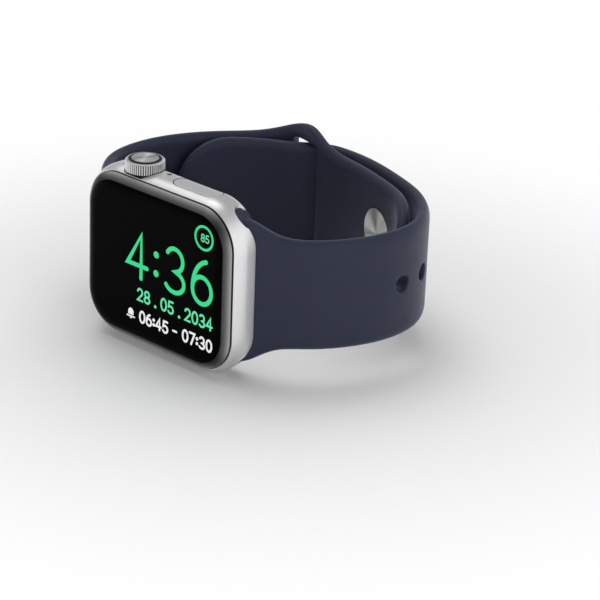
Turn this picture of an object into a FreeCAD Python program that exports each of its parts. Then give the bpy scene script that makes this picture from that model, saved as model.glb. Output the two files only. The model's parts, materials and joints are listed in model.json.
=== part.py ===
import FreeCAD, Part
import math
import os

# Smartwatch on a closed sport strap, in millimetres.
# +X is the 6 o'clock end, +Z the crown side, -Y the display side, +Y the wrist side.
# The origin is the top of the domed back crystal, where a charger's face touches.

V = FreeCAD.Vector
AXIS_X = V(1, 0, 0)
AXIS_Y = V(0, 1, 0)
AXIS_Z = V(0, 0, 1)

# Case
case_length = 40.0
case_width = 34.0
case_corner = 8.7
glass_bulge = 1.6
metal_depth = 6.5
dome_height = 2.6
front_round = 4.3
back_round = 2.0
seam_gap = 0.18
floor_thickness = 1.6
flank_wall = 2.8
slot_wall = 1.8
bay_corner = 1.2
hidden_gap = 0.1

# Front crystal and display
glass_thickness = 0.95
glass_skirt = 2.6
gasket_inset = 0.6
gasket_width = 1.3
gasket_depth = 0.4
display_border = 0.8
display_thickness = 0.8
display_plate_thickness = 0.35
antenna_border = 2.0
antenna_thickness = 0.15
display_bay_depth = 1.04

# Back cover and sensors
dome_radius = 38.0
cover_margin = 1.2
cover_fit = 0.1
cover_seat_depth = 0.9
cover_seat_width = 1.05
seal_thickness = 0.15
crystal_margin = 2.75
crystal_ledge = 0.75
crystal_edge = 0.45
crystal_fit = 0.05
electrode_margin = 1.0
electrode_width = 0.7
electrode_depth = 0.25
sensor_board_thickness = 0.5
sensor_height = 0.65
sensor_circle = 5.3
sensor_size = 2.4
led_circle = 1.1
led_size = 1.1
baffle_radius = 2.6
baffle_wall = 0.5
coil_margin = 0.8
coil_width = 3.4
coil_thickness = 0.55
magnet_margin = 0.5
magnet_thickness = 0.65
ferrite_overhang = 0.2
ferrite_thickness = 0.3
plate_thickness = 0.25

# Inner parts
part_gap = 0.3
split_x = 2.9
split_z = -9.0
crown_bay_depth = 5.8
button_bay_depth = 2.4
board_thickness = 0.5
package_height = 1.5
haptic_wall = 0.3
haptic_play = 0.55
vent_radius = 1.2
vent_thickness = 0.3
vent_hole_radius = 0.5
mesh_thickness = 0.12
speaker_mesh_inset = 1.1
sound_slot_height = 0.9
sound_slot_gap = 0.8
module_corner = 1.0
battery_corner = 1.2
battery_edge = 0.5
package_margin = 0.8
system_package_share = 0.55

# Crown
crown_inset = 12.4
crown_depth = 3.3
crown_radius = 3.72
crown_height = 2.3
crown_stand = 1.85
crown_travel = 0.25
crown_clearance = 0.16
crown_flutes = 52
flute_radius = 0.16
crown_edge = 0.25
crown_face_recess = 0.5
dark_ring_radius = 3.1
dark_ring_width = 0.5
cap_gap = 0.03
cap_rise = 0.25
shaft_radius = 0.95
shaft_fit = 0.05
bushing_radius = 1.6
bushing_flange_radius = 2.6
bushing_flange_thickness = 0.3
o_ring_section = 0.2
o_ring_play = 0.02
encoder_radius = 1.35
encoder_thickness = 0.6
thrust_overhang = 0.38
thrust_thickness = 0.3
switch_size = 2.4
switch_height = 0.45
bracket_sheet = 0.35
bracket_width = 5.0
bracket_ear = 1.9

# Side button
button_from_crown = 8.2
button_end_inset = 8.2
button_depth = 3.6
button_width = 3.9
button_thickness = 1.2
button_travel = 0.3
button_gap = 0.2
button_sink = 0.06
stem_radius = 0.55
stem_inset = 2.2
bar_thickness = 0.3

# Microphone
mic_offset = 5.5
mic_depth = 4.3
mic_hole_radius = 0.5
mic_size = 2.0
mic_height = 1.2

# Screws of the inner brackets
screw_radius = 0.4
screw_head_radius = 0.7
screw_head_height = 0.3
screw_length = 1.4
screw_slot = 0.2

# Strap lugs, channels, detents and release buttons
lug_inset = 2.8
lug_depth = 2.25
lug_radius = 1.6
lug_fit = 0.1
lug_overhang = 1.9
lug_end_inset = 0.35
exit_angle = 38.0
throat_clearance = 0.2
release_offset = 1.9
release_width = 1.9
release_length = 6.6
release_gap = 0.06
release_thickness = 0.85
release_sink = 0.08
release_travel = 0.45
release_lip = 0.55
release_flange = 0.3
leaf_thickness = 0.1
release_spring_inset = 0.66
groove_depth = 0.75
groove_edge = 0.7
detent_width = 0.5
detent_length = 5.6
detent_height = 1.1
detent_proud = 0.32
detent_bore_clearance = 0.04
detent_spring_floor = 0.3
detent_spring_inset = 0.56
detent_spring_side = 0.05

# Strap
strap_width = 21.2
strap_thickness = 2.5
strap_edge = 1.05
throat_thinning = 0.25
throat_run = 3.0
lug_flare = 3.4
flare_run = 5.0
layer_gap = 1.2
crossing_length = 12.0
crossing_at = 85.5
slot_length = 8.4
slot_clearance = 0.5
rail_height = 3.6
rail_run_short_side = 8.5
rail_run_long_side = 6.3
tail_length = 30.5
tail_rounding = 12.0
stud_at = 58.7
stud_end_length = 23.5
stud_end_rounding = 14.0
hole_pitch = 7.0
holes_before_stud = 4
holes_after_stud = 2
hole_radius = 1.65
hole_chamfer = 0.3
stud_disc_radius = 5.0
stud_disc_thickness = 1.0
stud_disc_round = 0.2
stud_recess = 0.8
stud_clearance = 0.1
stud_pin_radius = 1.25
stud_head_radius = 1.45
stud_head_height = 0.9
station_step = 2.5
sections_per_loft = 5
sewing_gap = 0.002
frame_step = 0.05
largest_edge_share = 0.45
tiny = 0.01
tip_cut_reach = 5.0

# Centre line of the strap's outer layer, from each lug: outward along X, and back along Y
long_side_route = [
    (3.2, 2.45), (9.2, 6.85), (13.6, 12.95), (16.4, 23.75), (15.0, 31.05),
    (10.7, 37.15), (4.8, 41.65), (-2.1, 44.65), (-9.2, 46.95), (-16.4, 48.25),
]
short_side_route = [
    (3.2, 2.45), (8.9, 6.65), (13.1, 12.15), (14.7, 18.95), (14.1, 25.95),
    (11.6, 32.55), (7.7, 38.35), (2.6, 43.05), (-2.7, 46.15), (-9.7, 47.95),
]

# Places along X and Z
flank_z = case_width / 2
lug_x = case_length / 2 - lug_inset
channel_radius = lug_radius + lug_fit
lug_half_length = strap_width / 2 + lug_flare + lug_overhang
bay_x = lug_x - channel_radius - slot_wall
bay_z = flank_z - flank_wall
crown_x = crown_inset - case_length / 2
crown_foot_z = flank_z + crown_stand - crown_height
crown_top_z = flank_z + crown_stand
crown_floor_z = crown_foot_z - crown_travel - crown_clearance
face_floor_z = crown_top_z - crown_face_recess
bay_split_z = bay_z - crown_bay_depth
battery_top_z = bay_split_z - 2 * hidden_gap
button_length = case_length - crown_inset - button_from_crown - button_end_inset
button_x = case_length / 2 - button_end_inset - button_length / 2
stem_spacing = button_length - 2 * stem_inset
mic_x = crown_x + mic_offset
speaker_length = bay_x - hidden_gap - split_x - part_gap
speaker_x = (hidden_gap - bay_x - split_x) / 2
sound_slot_length = speaker_length / 2 - speaker_mesh_inset - part_gap - sound_slot_gap / 2
sound_slot_pitch = sound_slot_length + sound_slot_gap
release_x = lug_x - release_offset
groove_x = lug_x - groove_edge
detent_x = groove_x - detent_width / 2 - detent_bore_clearance - hidden_gap
cover_radius = release_x - release_width / 2 - cover_margin
crystal_radius = cover_radius - crystal_margin
electrode_outer = crystal_radius - electrode_margin
electrode_inner = electrode_outer - electrode_width
coil_outer = crystal_radius - coil_margin
coil_inner = coil_outer - coil_width
magnet_radius = coil_inner - magnet_margin
ferrite_radius = crystal_radius + ferrite_overhang

# Levels along Y
back_rim_y = -dome_height
seam_y = back_rim_y - metal_depth
front_y = seam_y - glass_bulge
glass_back_y = front_y + glass_thickness
display_back_y = glass_back_y + display_thickness
plate_back_y = display_back_y + display_plate_thickness
antenna_back_y = plate_back_y + antenna_thickness
metal_front_y = seam_y + seam_gap / 2
glass_edge_y = seam_y - seam_gap / 2
gasket_back_y = metal_front_y + gasket_depth
bay_front_y = metal_front_y + display_bay_depth
bay_floor_y = back_rim_y - floor_thickness
cover_seat_y = back_rim_y - cover_seat_depth
cover_front_y = cover_seat_y + seal_thickness
crystal_seat_y = math.sqrt(dome_radius ** 2 - crystal_radius ** 2) - dome_radius - crystal_edge
sensor_back_y = cover_front_y + sensor_board_thickness
coil_back_y = cover_front_y - hidden_gap / 2
magnet_front_y = coil_back_y - magnet_thickness
ferrite_front_y = magnet_front_y - ferrite_thickness
inner_plate_front_y = ferrite_front_y - plate_thickness
inner_back_y = inner_plate_front_y - hidden_gap / 2
inner_front_y = bay_front_y + hidden_gap
speaker_y = (inner_front_y + inner_back_y) / 2
crown_y = seam_y + crown_depth
button_y = seam_y + button_depth
mic_y = seam_y + mic_depth
lug_y = back_rim_y - lug_depth
release_back_y = back_rim_y - release_sink
release_front_y = release_back_y - release_thickness
release_floor_y = release_front_y - release_travel - 2 * hidden_gap
groove_floor_y = lug_y + groove_depth
detent_top_y = groove_floor_y + detent_proud
detent_bottom_y = detent_top_y - detent_height
detent_floor_y = detent_bottom_y - release_travel - hidden_gap - detent_spring_floor


def block(x0, x1, y0, y1, z0, z1):
    return Part.makeBox(x1 - x0, y1 - y0, z1 - z0, V(x0, y0, z0))


def slab(length, width, corner, y0, y1, x=0.0, z=0.0):
    """A rounded rectangle in the XZ plane, with its thickness along Y."""
    box = block(x - length / 2, x + length / 2, y0, y1, z - width / 2, z + width / 2)
    corners = [e for e in box.Edges if e.BoundBox.YLength > max(e.BoundBox.XLength, e.BoundBox.ZLength)]
    return box.makeFillet(corner, corners)


def flank_slab(length, depth, z0, z1, x, y):
    """A pill shape in the XY plane, with its thickness along Z."""
    middle = block(x - (length - depth) / 2, x + (length - depth) / 2, y - depth / 2, y + depth / 2, z0, z1)
    ends = [rod(depth / 2, z0, z1, x + side * (length - depth) / 2, y) for side in (-1, 1)]
    return middle.multiFuse(ends).removeSplitter()


def back_slab(length, width, y0, y1, x):
    """A pill shape in the XZ plane that is long in Z, with its thickness along Y."""
    middle = block(x - width / 2, x + width / 2, y0, y1, -(length - width) / 2, (length - width) / 2)
    ends = [disc(width / 2, y0, y1, x, side * (length - width) / 2) for side in (-1, 1)]
    return middle.multiFuse(ends).removeSplitter()


def disc(radius, y0, y1, x=0.0, z=0.0):
    return Part.makeCylinder(radius, y1 - y0, V(x, y0, z), AXIS_Y)


def ring(outer, inner, y0, y1):
    return disc(outer, y0, y1).cut(disc(inner, y0 - 1, y1 + 1))


def rod(radius, z0, z1, x, y):
    return Part.makeCylinder(radius, z1 - z0, V(x, y, z0), AXIS_Z)


def pipe(outer, inner, z0, z1, x, y):
    return rod(outer, z0, z1, x, y).cut(rod(inner, z0 - 1, z1 + 1, x, y))


def mirrored(shape):
    """The same piece at the other end of the case."""
    return shape.mirror(V(0, 0, 0), AXIS_X)


def case_envelope():
    """The case's outer form: convex flanks that run on into the crystal's edge."""
    body = slab(case_length, case_width, case_corner, front_y, back_rim_y)
    front_edges = [e for e in body.Edges if e.BoundBox.YMax < front_y + tiny]
    body = body.makeFillet(front_round, front_edges)
    back_edges = [e for e in body.Edges if e.BoundBox.YMin > back_rim_y - tiny]
    return body.makeFillet(back_round, back_edges)


def seam_slab(inset, y0, y1):
    """A slab that follows the seam between crystal and metal, moved in by a distance."""
    rise = front_round - glass_bulge
    edge = front_round - math.sqrt(front_round ** 2 - rise ** 2) + inset
    return slab(case_length - 2 * edge, case_width - 2 * edge, case_corner - edge, y0, y1)


def lug_channel():
    """Round channel across the 6 o'clock end, with a throat that opens outward and back."""
    reach = case_width / 2 + 1
    angle = math.radians(exit_angle)
    out = V(math.cos(angle), math.sin(angle), 0)
    side = V(-math.sin(angle), math.cos(angle), 0)
    half = (strap_thickness - throat_thinning) / 2 + throat_clearance
    centre = V(lug_x, lug_y, -reach)
    corners = [
        centre + side * half,
        centre + out * 2 * lug_inset + side * half,
        centre + out * 2 * lug_inset - side * half,
        centre - side * half,
    ]
    throat = Part.Face(Part.makePolygon(corners + corners[:1])).extrude(V(0, 0, 2 * reach))
    return rod(channel_radius, -reach, reach, lug_x, lug_y).fuse(throat)


def release_pocket():
    """Pocket for the 6 o'clock release button, with longer ends under the lip for its flange."""
    width = release_width + 2 * release_gap
    lip_y = back_rim_y - release_lip
    mouth = back_slab(release_length + 2 * release_gap, width, release_floor_y, back_rim_y + 1, release_x)
    under_length = release_length + 2 * release_flange + 4 * release_gap
    return mouth.fuse(back_slab(under_length, width, release_floor_y, lip_y, release_x))


def crown_opening():
    reach = flank_z + 2
    recess = rod(crown_radius + crown_clearance, crown_floor_z, reach, crown_x, crown_y)
    seat_z = crown_floor_z - bushing_flange_thickness
    seat = rod(bushing_flange_radius, seat_z, reach, crown_x, crown_y)
    bore = rod(bushing_radius, bay_z - 1, reach, crown_x, crown_y)
    return recess.fuse([seat, bore])


def button_recess_floor():
    return flank_z - button_sink - button_thickness - button_travel - hidden_gap


def button_opening():
    gap = 2 * button_gap
    floor_z = button_recess_floor()
    shape = flank_slab(button_length + gap, button_width + gap, floor_z, flank_z + 2, button_x, button_y)
    for x in stem_places():
        shape = shape.fuse(rod(stem_radius + shaft_fit, bay_z - 1, floor_z + 1, x, button_y))
    return shape


def stem_places():
    return [button_x - stem_spacing / 2, button_x + stem_spacing / 2]


def screw_places():
    """X and Y of each bracket screw, two at the crown and two at the side button."""
    crown_reach = bracket_width / 2 + bracket_ear / 2
    button_reach = stem_spacing / 2 + bracket_ear
    return [
        (crown_x - crown_reach, crown_y),
        (crown_x + crown_reach, crown_y),
        (button_x - button_reach, button_y),
        (button_x + button_reach, button_y),
    ]


def housing():
    body = case_envelope().common(
        block(-case_length, case_length, metal_front_y, back_rim_y + 1, -case_width, case_width))
    cuts = [
        seam_slab(gasket_inset, metal_front_y - 1, gasket_back_y),
        seam_slab(glass_skirt, metal_front_y - 1, bay_front_y),
        slab(2 * bay_x, 2 * bay_z, bay_corner, bay_front_y - 1, bay_floor_y),
        disc(cover_radius + cover_fit, cover_seat_y, back_rim_y + 1),
        disc(cover_radius - cover_seat_width, bay_floor_y - 1, cover_seat_y + 1),
        crown_opening(),
        button_opening(),
        rod(mic_hole_radius, bay_z - 1, flank_z + 1, mic_x, mic_y),
        rod(vent_hole_radius, -flank_z - 1, -bay_z + 1, 0, speaker_y),
    ]
    for side in (-1, 1):
        x = speaker_x + side * sound_slot_pitch / 2
        cuts.append(flank_slab(sound_slot_length, sound_slot_height, -flank_z - 1, -bay_z + 1, x, speaker_y))
    for x, y in screw_places():
        cuts.append(rod(screw_radius, bay_z - 1, bay_z + screw_length - bracket_sheet, x, y))
    for cutter in (lug_channel(), release_pocket()):
        cuts += [cutter, mirrored(cutter)]
    return body.cut(cuts)


def front_crystal():
    body = case_envelope().common(
        block(-case_length, case_length, front_y - 1, glass_edge_y, -case_width, case_width))
    return body.cut(seam_slab(glass_skirt, glass_back_y, glass_edge_y + 1))


def crystal_gasket():
    outer = seam_slab(gasket_inset + hidden_gap / 2, glass_edge_y, gasket_back_y)
    return outer.cut(seam_slab(gasket_inset + gasket_width, glass_edge_y - 1, gasket_back_y + 1))


def display_panel():
    return seam_slab(glass_skirt + display_border, glass_back_y, display_back_y)


def display_plate():
    return seam_slab(glass_skirt + display_border, display_back_y, plate_back_y)


def antenna_sheet():
    return seam_slab(glass_skirt + display_border + antenna_border, plate_back_y, antenna_back_y)


def dome_y(radius):
    """Height of the wrist side's dome at a distance from its axis."""
    return math.sqrt(dome_radius ** 2 - radius ** 2) - dome_radius


def dome_turned(inner, outer, low_y):
    """A turned piece under the dome, from an inner to an outer radius."""
    middle = (inner + outer) / 2
    arc = Part.Arc(V(outer, dome_y(outer), 0), V(middle, dome_y(middle), 0), V(inner, dome_y(inner), 0))
    outline = [
        Part.makeLine(V(inner, low_y, 0), V(outer, low_y, 0)),
        Part.makeLine(V(outer, low_y, 0), V(outer, dome_y(outer), 0)),
        arc.toShape(),
    ]
    if inner > 0:
        outline.append(Part.makeLine(V(inner, dome_y(inner), 0), V(inner, low_y, 0)))
    else:
        outline.append(Part.makeLine(V(0, 0, 0), V(0, low_y, 0)))
    return Part.Face(Part.Wire(outline)).revolve(V(0, 0, 0), AXIS_Y, 360)


def back_cover():
    outer = dome_turned(crystal_radius + crystal_fit, cover_radius, cover_front_y)
    ledge_outer = crystal_radius + crystal_fit + tiny
    ledge = ring(ledge_outer, crystal_radius - crystal_ledge, cover_front_y, crystal_seat_y)
    return outer.fuse(ledge).removeSplitter()


def back_crystal():
    groove_y = dome_y(electrode_outer) - electrode_depth
    groove = ring(electrode_outer + crystal_fit, electrode_inner - crystal_fit, groove_y, 1)
    return dome_turned(0, crystal_radius, crystal_seat_y).cut(groove)


def electrode_ring():
    return dome_turned(electrode_inner, electrode_outer, dome_y(electrode_outer) - electrode_depth)


def back_seal():
    outer = cover_radius - hidden_gap / 2
    return ring(outer, cover_radius - cover_seat_width + hidden_gap, cover_seat_y, cover_front_y)


def sensor_board():
    return disc(crystal_radius - crystal_ledge - part_gap, cover_front_y, sensor_back_y)


def around_axis(radius, size, height, count, start):
    """Small square chips in a circle on the sensor board."""
    chips = []
    half = size / 2
    for i in range(count):
        angle = math.radians(start + i * 360 / count)
        x = radius * math.cos(angle)
        z = radius * math.sin(angle)
        chips.append(block(x - half, x + half, sensor_back_y, sensor_back_y + height, z - half, z + half))
    return Part.makeCompound(chips)


def sensor_leds():
    return around_axis(led_circle, led_size, sensor_height, 4, 0)


def photodiodes():
    return around_axis(sensor_circle, sensor_size, sensor_height, 4, 45)


def light_baffle():
    top_y = crystal_seat_y - hidden_gap / 2
    return ring(baffle_radius + baffle_wall, baffle_radius, sensor_back_y, top_y)


def charging_coil():
    return ring(coil_outer, coil_inner, coil_back_y - coil_thickness, coil_back_y)


def alignment_magnet():
    return disc(magnet_radius, magnet_front_y, coil_back_y)


def ferrite_disc():
    return disc(ferrite_radius, ferrite_front_y, magnet_front_y)


def inner_plate():
    """Thin plate between the charging parts and the battery; it stops short of the crown's parts."""
    gap = hidden_gap
    full = slab(2 * (bay_x - gap), 2 * (bay_z - gap), bay_corner - gap, inner_plate_front_y, ferrite_front_y)
    return full.common(
        block(-case_length, case_length, inner_plate_front_y - 1, ferrite_front_y + 1, -case_width, battery_top_z))


def battery():
    x0 = -bay_x + 2 * hidden_gap
    x1 = split_x - part_gap
    z0 = split_z
    body = slab(x1 - x0, battery_top_z - z0, battery_corner, inner_front_y, inner_back_y,
                (x0 + x1) / 2, (battery_top_z + z0) / 2)
    rims = [e for e in body.Edges if e.BoundBox.YLength < tiny]
    return body.makeFillet(battery_edge, rims)


def logic_board_span():
    """X and Z limits of the logic board."""
    return split_x, bay_x - 2 * hidden_gap, split_z + part_gap, bay_z - button_bay_depth - part_gap


def logic_board():
    x0, x1, z0, z1 = logic_board_span()
    return block(x0, x1, inner_back_y - board_thickness, inner_back_y, z0, z1)


def board_packages():
    """The system package and the smaller chips beside it."""
    x0, x1, z0, z1 = logic_board_span()
    top_y = inner_back_y - board_thickness
    margin = package_margin
    big_end = z0 + margin + system_package_share * (z1 - z0 - 2 * margin)
    chips = [block(x0 + margin, x1 - margin, top_y - package_height, top_y, z0 + margin, big_end)]
    chip_z = big_end + margin
    chip_length = (z1 - margin - chip_z - margin) / 2
    chip_width = (x1 - x0 - 3 * margin) / 2
    for i in range(2):
        for j in range(2):
            x = x0 + margin + i * (chip_width + margin)
            z = chip_z + j * (chip_length + margin)
            chips.append(block(x, x + chip_width, top_y - package_height / 2, top_y, z, z + chip_length))
    return Part.makeCompound(chips)


def haptic_box():
    """X and Z limits of the haptic engine, in the corner of the bay."""
    return split_x + part_gap, bay_x - 2 * hidden_gap, -bay_z + 2 * hidden_gap, split_z - part_gap


def haptic_case():
    x0, x1, z0, z1 = haptic_box()
    wall = haptic_wall
    outer = slab(x1 - x0, z1 - z0, module_corner, inner_front_y, inner_back_y, (x0 + x1) / 2, (z0 + z1) / 2)
    inner = block(x0 + wall, x1 - wall, inner_front_y + wall, inner_back_y - wall, z0 + wall, z1 - wall)
    return outer.cut(inner)


def haptic_mass():
    x0, x1, z0, z1 = haptic_box()
    end = haptic_wall + haptic_play
    side = haptic_wall + hidden_gap / 2
    return block(x0 + end, x1 - end, inner_front_y + side, inner_back_y - side, z0 + side, z1 - side)


def bowed_strip(width, span, rise, thickness):
    """A bowed leaf spring: it spans Y, bows towards +Z, and is extruded along X."""
    arcs = []
    for drop in (0, thickness):
        arcs.append(Part.Arc(V(0, -span / 2, 0), V(0, 0, rise - drop), V(0, span / 2, 0)))
        span = span - 2 * thickness
    outer, inner = arcs
    ends = [
        Part.makeLine(outer.EndPoint, inner.EndPoint),
        Part.makeLine(inner.StartPoint, outer.StartPoint),
    ]
    wire = Part.Wire([outer.toShape(), ends[0], inner.toShape(), ends[1]])
    return Part.Face(wire).extrude(V(width, 0, 0))


def haptic_springs():
    """A bowed leaf at each end of the moving mass."""
    x0, x1, z0, z1 = haptic_box()
    rise = haptic_play - hidden_gap / 2
    width = (z1 - z0) / 2
    span = (inner_back_y - inner_front_y) - 2 * haptic_wall - 2 * hidden_gap
    springs = []
    for x, turn in ((x0 + haptic_wall, 1), (x1 - haptic_wall, -1)):
        leaf = bowed_strip(width, span, rise, leaf_thickness)
        leaf.rotate(V(0, 0, 0), AXIS_Y, 90 * turn)
        leaf.translate(V(x, (inner_front_y + inner_back_y) / 2, (z0 + z1 + turn * width) / 2))
        springs.append(leaf)
    return Part.makeCompound(springs)


def speaker():
    z0 = -bay_z + mesh_thickness + hidden_gap
    z1 = split_z - part_gap
    body = slab(speaker_length, z1 - z0, module_corner, inner_front_y, inner_back_y, speaker_x, (z0 + z1) / 2)
    port_half = speaker_port_half()
    port = block(speaker_x - port_half, speaker_x + port_half,
                 speaker_y - sound_slot_height / 2, speaker_y + sound_slot_height / 2, z0 - 1, z0 + 1)
    return body.cut(port)


def speaker_port_half():
    """Half the length that the two sound slots take up."""
    return (sound_slot_pitch + sound_slot_length) / 2


def speaker_mesh():
    half = speaker_port_half() + part_gap
    return block(speaker_x - half, speaker_x + half, speaker_y - sound_slot_height,
                 speaker_y + sound_slot_height, -bay_z, -bay_z + mesh_thickness)


def pressure_vent():
    body = rod(vent_radius, -bay_z, -bay_z + vent_thickness, 0, speaker_y)
    return body.cut(rod(vent_hole_radius, -bay_z - 1, -bay_z + vent_thickness / 2, 0, speaker_y))


def microphone():
    half = mic_size / 2
    z1 = bay_z - hidden_gap / 2
    front = mic_y - half
    back = min(mic_y + half, bay_floor_y - hidden_gap / 2)
    body = block(mic_x - half, mic_x + half, front, back, z1 - mic_height, z1)
    return body.cut(rod(mic_hole_radius / 2, z1 - mic_height / 2, z1 + 1, mic_x, mic_y))


def crown_ring():
    """Knurled ring with a recess in its face and a bore for the shaft."""
    body = rod(crown_radius, crown_foot_z, crown_top_z, crown_x, crown_y)
    body = body.makeChamfer(crown_edge, [e for e in body.Edges if e.BoundBox.ZLength < tiny])
    cuts = [
        rod(dark_ring_radius + cap_gap, face_floor_z, crown_top_z + 1, crown_x, crown_y),
        rod(shaft_radius, crown_foot_z - 1, crown_top_z, crown_x, crown_y),
    ]
    for i in range(crown_flutes):
        angle = 2 * math.pi * i / crown_flutes
        x = crown_x + crown_radius * math.cos(angle)
        y = crown_y + crown_radius * math.sin(angle)
        cuts.append(rod(flute_radius, crown_foot_z - 1, crown_top_z + 1, x, y))
    return body.cut(cuts)


def crown_cap():
    radius = dark_ring_radius - dark_ring_width - cap_gap
    body = rod(radius, face_floor_z, crown_top_z + cap_rise, crown_x, crown_y)
    top = [e for e in body.Edges if e.BoundBox.ZMin > crown_top_z]
    return body.makeFillet(cap_rise / 2, top)


def crown_dark_ring():
    inner = dark_ring_radius - dark_ring_width
    return pipe(dark_ring_radius, inner, face_floor_z, crown_top_z + cap_rise / 3, crown_x, crown_y)


def o_ring_heights():
    middle = (bay_z + crown_floor_z) / 2
    return [middle - 2 * o_ring_section, middle + 2 * o_ring_section]


def shaft_end_z():
    return thrust_z() + thrust_thickness + hidden_gap / 2


def thrust_z():
    """Inner face of the thrust plate, a little more than the travel from the switch."""
    return bay_split_z + part_gap + bracket_sheet + switch_height + crown_travel + hidden_gap


def o_ring(radius, z, x, y):
    """A ring that lies just inside a bore of that radius."""
    return Part.makeTorus(radius - o_ring_section - o_ring_play, o_ring_section, V(x, y, z), AXIS_Z)


def grooved_rod(radius, bore, heights, z0, z1, x, y):
    """A rod with a groove for each O-ring that seals it in its bore."""
    body = rod(radius, z0, z1, x, y)
    half = o_ring_section + o_ring_play
    floor = bore - 2 * half
    for z in heights:
        body = body.cut(pipe(radius + 1, floor, z - half, z + half, x, y))
    return body


def crown_shaft():
    bore = shaft_radius + shaft_fit
    return grooved_rod(shaft_radius, bore, o_ring_heights(), shaft_end_z(), face_floor_z, crown_x, crown_y)


def crown_o_rings():
    bore = shaft_radius + shaft_fit
    return Part.makeCompound([o_ring(bore, z, crown_x, crown_y) for z in o_ring_heights()])


def crown_bushing():
    sleeve = rod(bushing_radius, bay_z - part_gap, crown_floor_z, crown_x, crown_y)
    flange = rod(bushing_flange_radius, crown_floor_z - bushing_flange_thickness, crown_floor_z, crown_x, crown_y)
    bore = rod(shaft_radius + shaft_fit, bay_z - 1, crown_floor_z + 1, crown_x, crown_y)
    return sleeve.fuse(flange).cut(bore)


def encoder_z():
    return (shaft_end_z() + bay_z) / 2


def encoder_wheel():
    z0 = encoder_z() - encoder_thickness / 2
    return pipe(encoder_radius, shaft_radius, z0, z0 + encoder_thickness, crown_x, crown_y)


def encoder_sensor():
    """Optical reader beside the wheel, on the bracket's arm."""
    x1 = crown_x + bracket_width / 2 - bracket_sheet
    x0 = crown_x + encoder_radius + hidden_gap
    half = encoder_radius / 2
    return block(x0, x1, crown_y - half, crown_y + half, encoder_z() - half, encoder_z() + half)


def crown_thrust_plate():
    z0 = thrust_z()
    return rod(shaft_radius + thrust_overhang, z0, z0 + thrust_thickness, crown_x, crown_y)


def dome_switch(x, y, z0):
    """A tactile switch: a square base with a low domed button."""
    half = switch_size / 2
    base = block(x - half, x + half, y - half / 2, y + half / 2, z0, z0 + switch_height / 2)
    button = Part.makeCone(half / 2, half / 4, switch_height / 2, V(x, y, z0 + switch_height / 2), AXIS_Z)
    return base.fuse(button).removeSplitter()


def crown_switch():
    return dome_switch(crown_x, crown_y, bay_split_z + part_gap + bracket_sheet)


def eared_bracket(x, y, width, depth, floor_z):
    """A sheet-metal cradle that hangs from the flank wall: floor, two arms and two ears with screw holes."""
    sheet = bracket_sheet
    top_z = bay_z - hidden_gap / 2
    y0 = y - depth / 2
    y1 = y + depth / 2
    x0 = x - width / 2
    x1 = x + width / 2
    pieces = [
        block(x0, x0 + sheet, y0, y1, floor_z, top_z),
        block(x1 - sheet, x1, y0, y1, floor_z, top_z),
        block(x0 - bracket_ear, x0 + sheet, y0, y1, top_z - sheet, top_z),
        block(x1 - sheet, x1 + bracket_ear, y0, y1, top_z - sheet, top_z),
    ]
    body = block(x0, x1, y0, y1, floor_z, floor_z + sheet).multiFuse(pieces).removeSplitter()
    holes = []
    for hole_x in (x0 - bracket_ear / 2, x1 + bracket_ear / 2):
        holes.append(rod(screw_radius + shaft_fit, top_z - 1, top_z + 1, hole_x, y))
    return body.cut(holes)


def crown_bracket():
    depth = 2 * encoder_radius
    return eared_bracket(crown_x, crown_y, bracket_width, depth, bay_split_z + part_gap)


def bracket_screws():
    """Four equal screws, heads inside the bay, that hold both brackets to the flank wall."""
    screws = []
    head_z = bay_z - hidden_gap / 2 - bracket_sheet
    for x, y in screw_places():
        shank = rod(screw_radius, head_z, head_z + screw_length, x, y)
        head = rod(screw_head_radius, head_z - screw_head_height, head_z, x, y)
        slot = block(x - screw_slot / 2, x + screw_slot / 2, y - screw_head_radius, y + screw_head_radius,
                     head_z - screw_head_height - 1, head_z - screw_head_height / 2)
        screws.append(shank.fuse(head).cut(slot))
    return Part.makeCompound(screws)


def side_button():
    """Pill whose face follows the flank, sunk by a hair."""
    face = case_envelope()
    face.translate(V(0, 0, -button_sink))
    z0 = flank_z - button_sink - button_thickness
    return flank_slab(button_length, button_width, z0, flank_z + 1, button_x, button_y).common(face)


def stem_ring_height():
    return (bay_z + button_recess_floor()) / 2


def bar_z():
    return bay_z - button_travel - bar_thickness - part_gap


def button_stems():
    """Two stems that pass the flank wall, joined inside by the bar that works the switch."""
    z1 = flank_z - button_sink - button_thickness
    bore = stem_radius + shaft_fit
    stems = [grooved_rod(stem_radius, bore, [stem_ring_height()], bar_z(), z1, x, button_y) for x in stem_places()]
    half = stem_spacing / 2 + stem_radius
    bar = block(button_x - half, button_x + half, button_y - stem_radius, button_y + stem_radius,
                bar_z(), bar_z() + bar_thickness)
    return bar.multiFuse(stems).removeSplitter()


def button_o_rings():
    bore = stem_radius + shaft_fit
    return Part.makeCompound([o_ring(bore, stem_ring_height(), x, button_y) for x in stem_places()])


def button_switch_z():
    return bar_z() - button_travel - hidden_gap - switch_height


def button_switch():
    return dome_switch(button_x, button_y, button_switch_z())


def button_bracket():
    width = stem_spacing + bracket_ear
    return eared_bracket(button_x, button_y, width, 2 * stem_radius, button_switch_z() - bracket_sheet)


def strap_loop():
    """Centre line of the outer layer, from the 6 o'clock lug round to the 12 o'clock lug."""
    points = [V(lug_x, lug_y, 0)]
    points += [V(lug_x + x, lug_y + y, 0) for x, y in long_side_route]
    points += [V(-lug_x - x, lug_y + y, 0) for x, y in reversed(short_side_route)]
    points.append(V(-lug_x, lug_y, 0))
    curve = Part.BSplineCurve()
    curve.interpolate(points)
    return curve


LOOP = strap_loop()
LOOP_LENGTH = LOOP.length()


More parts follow.
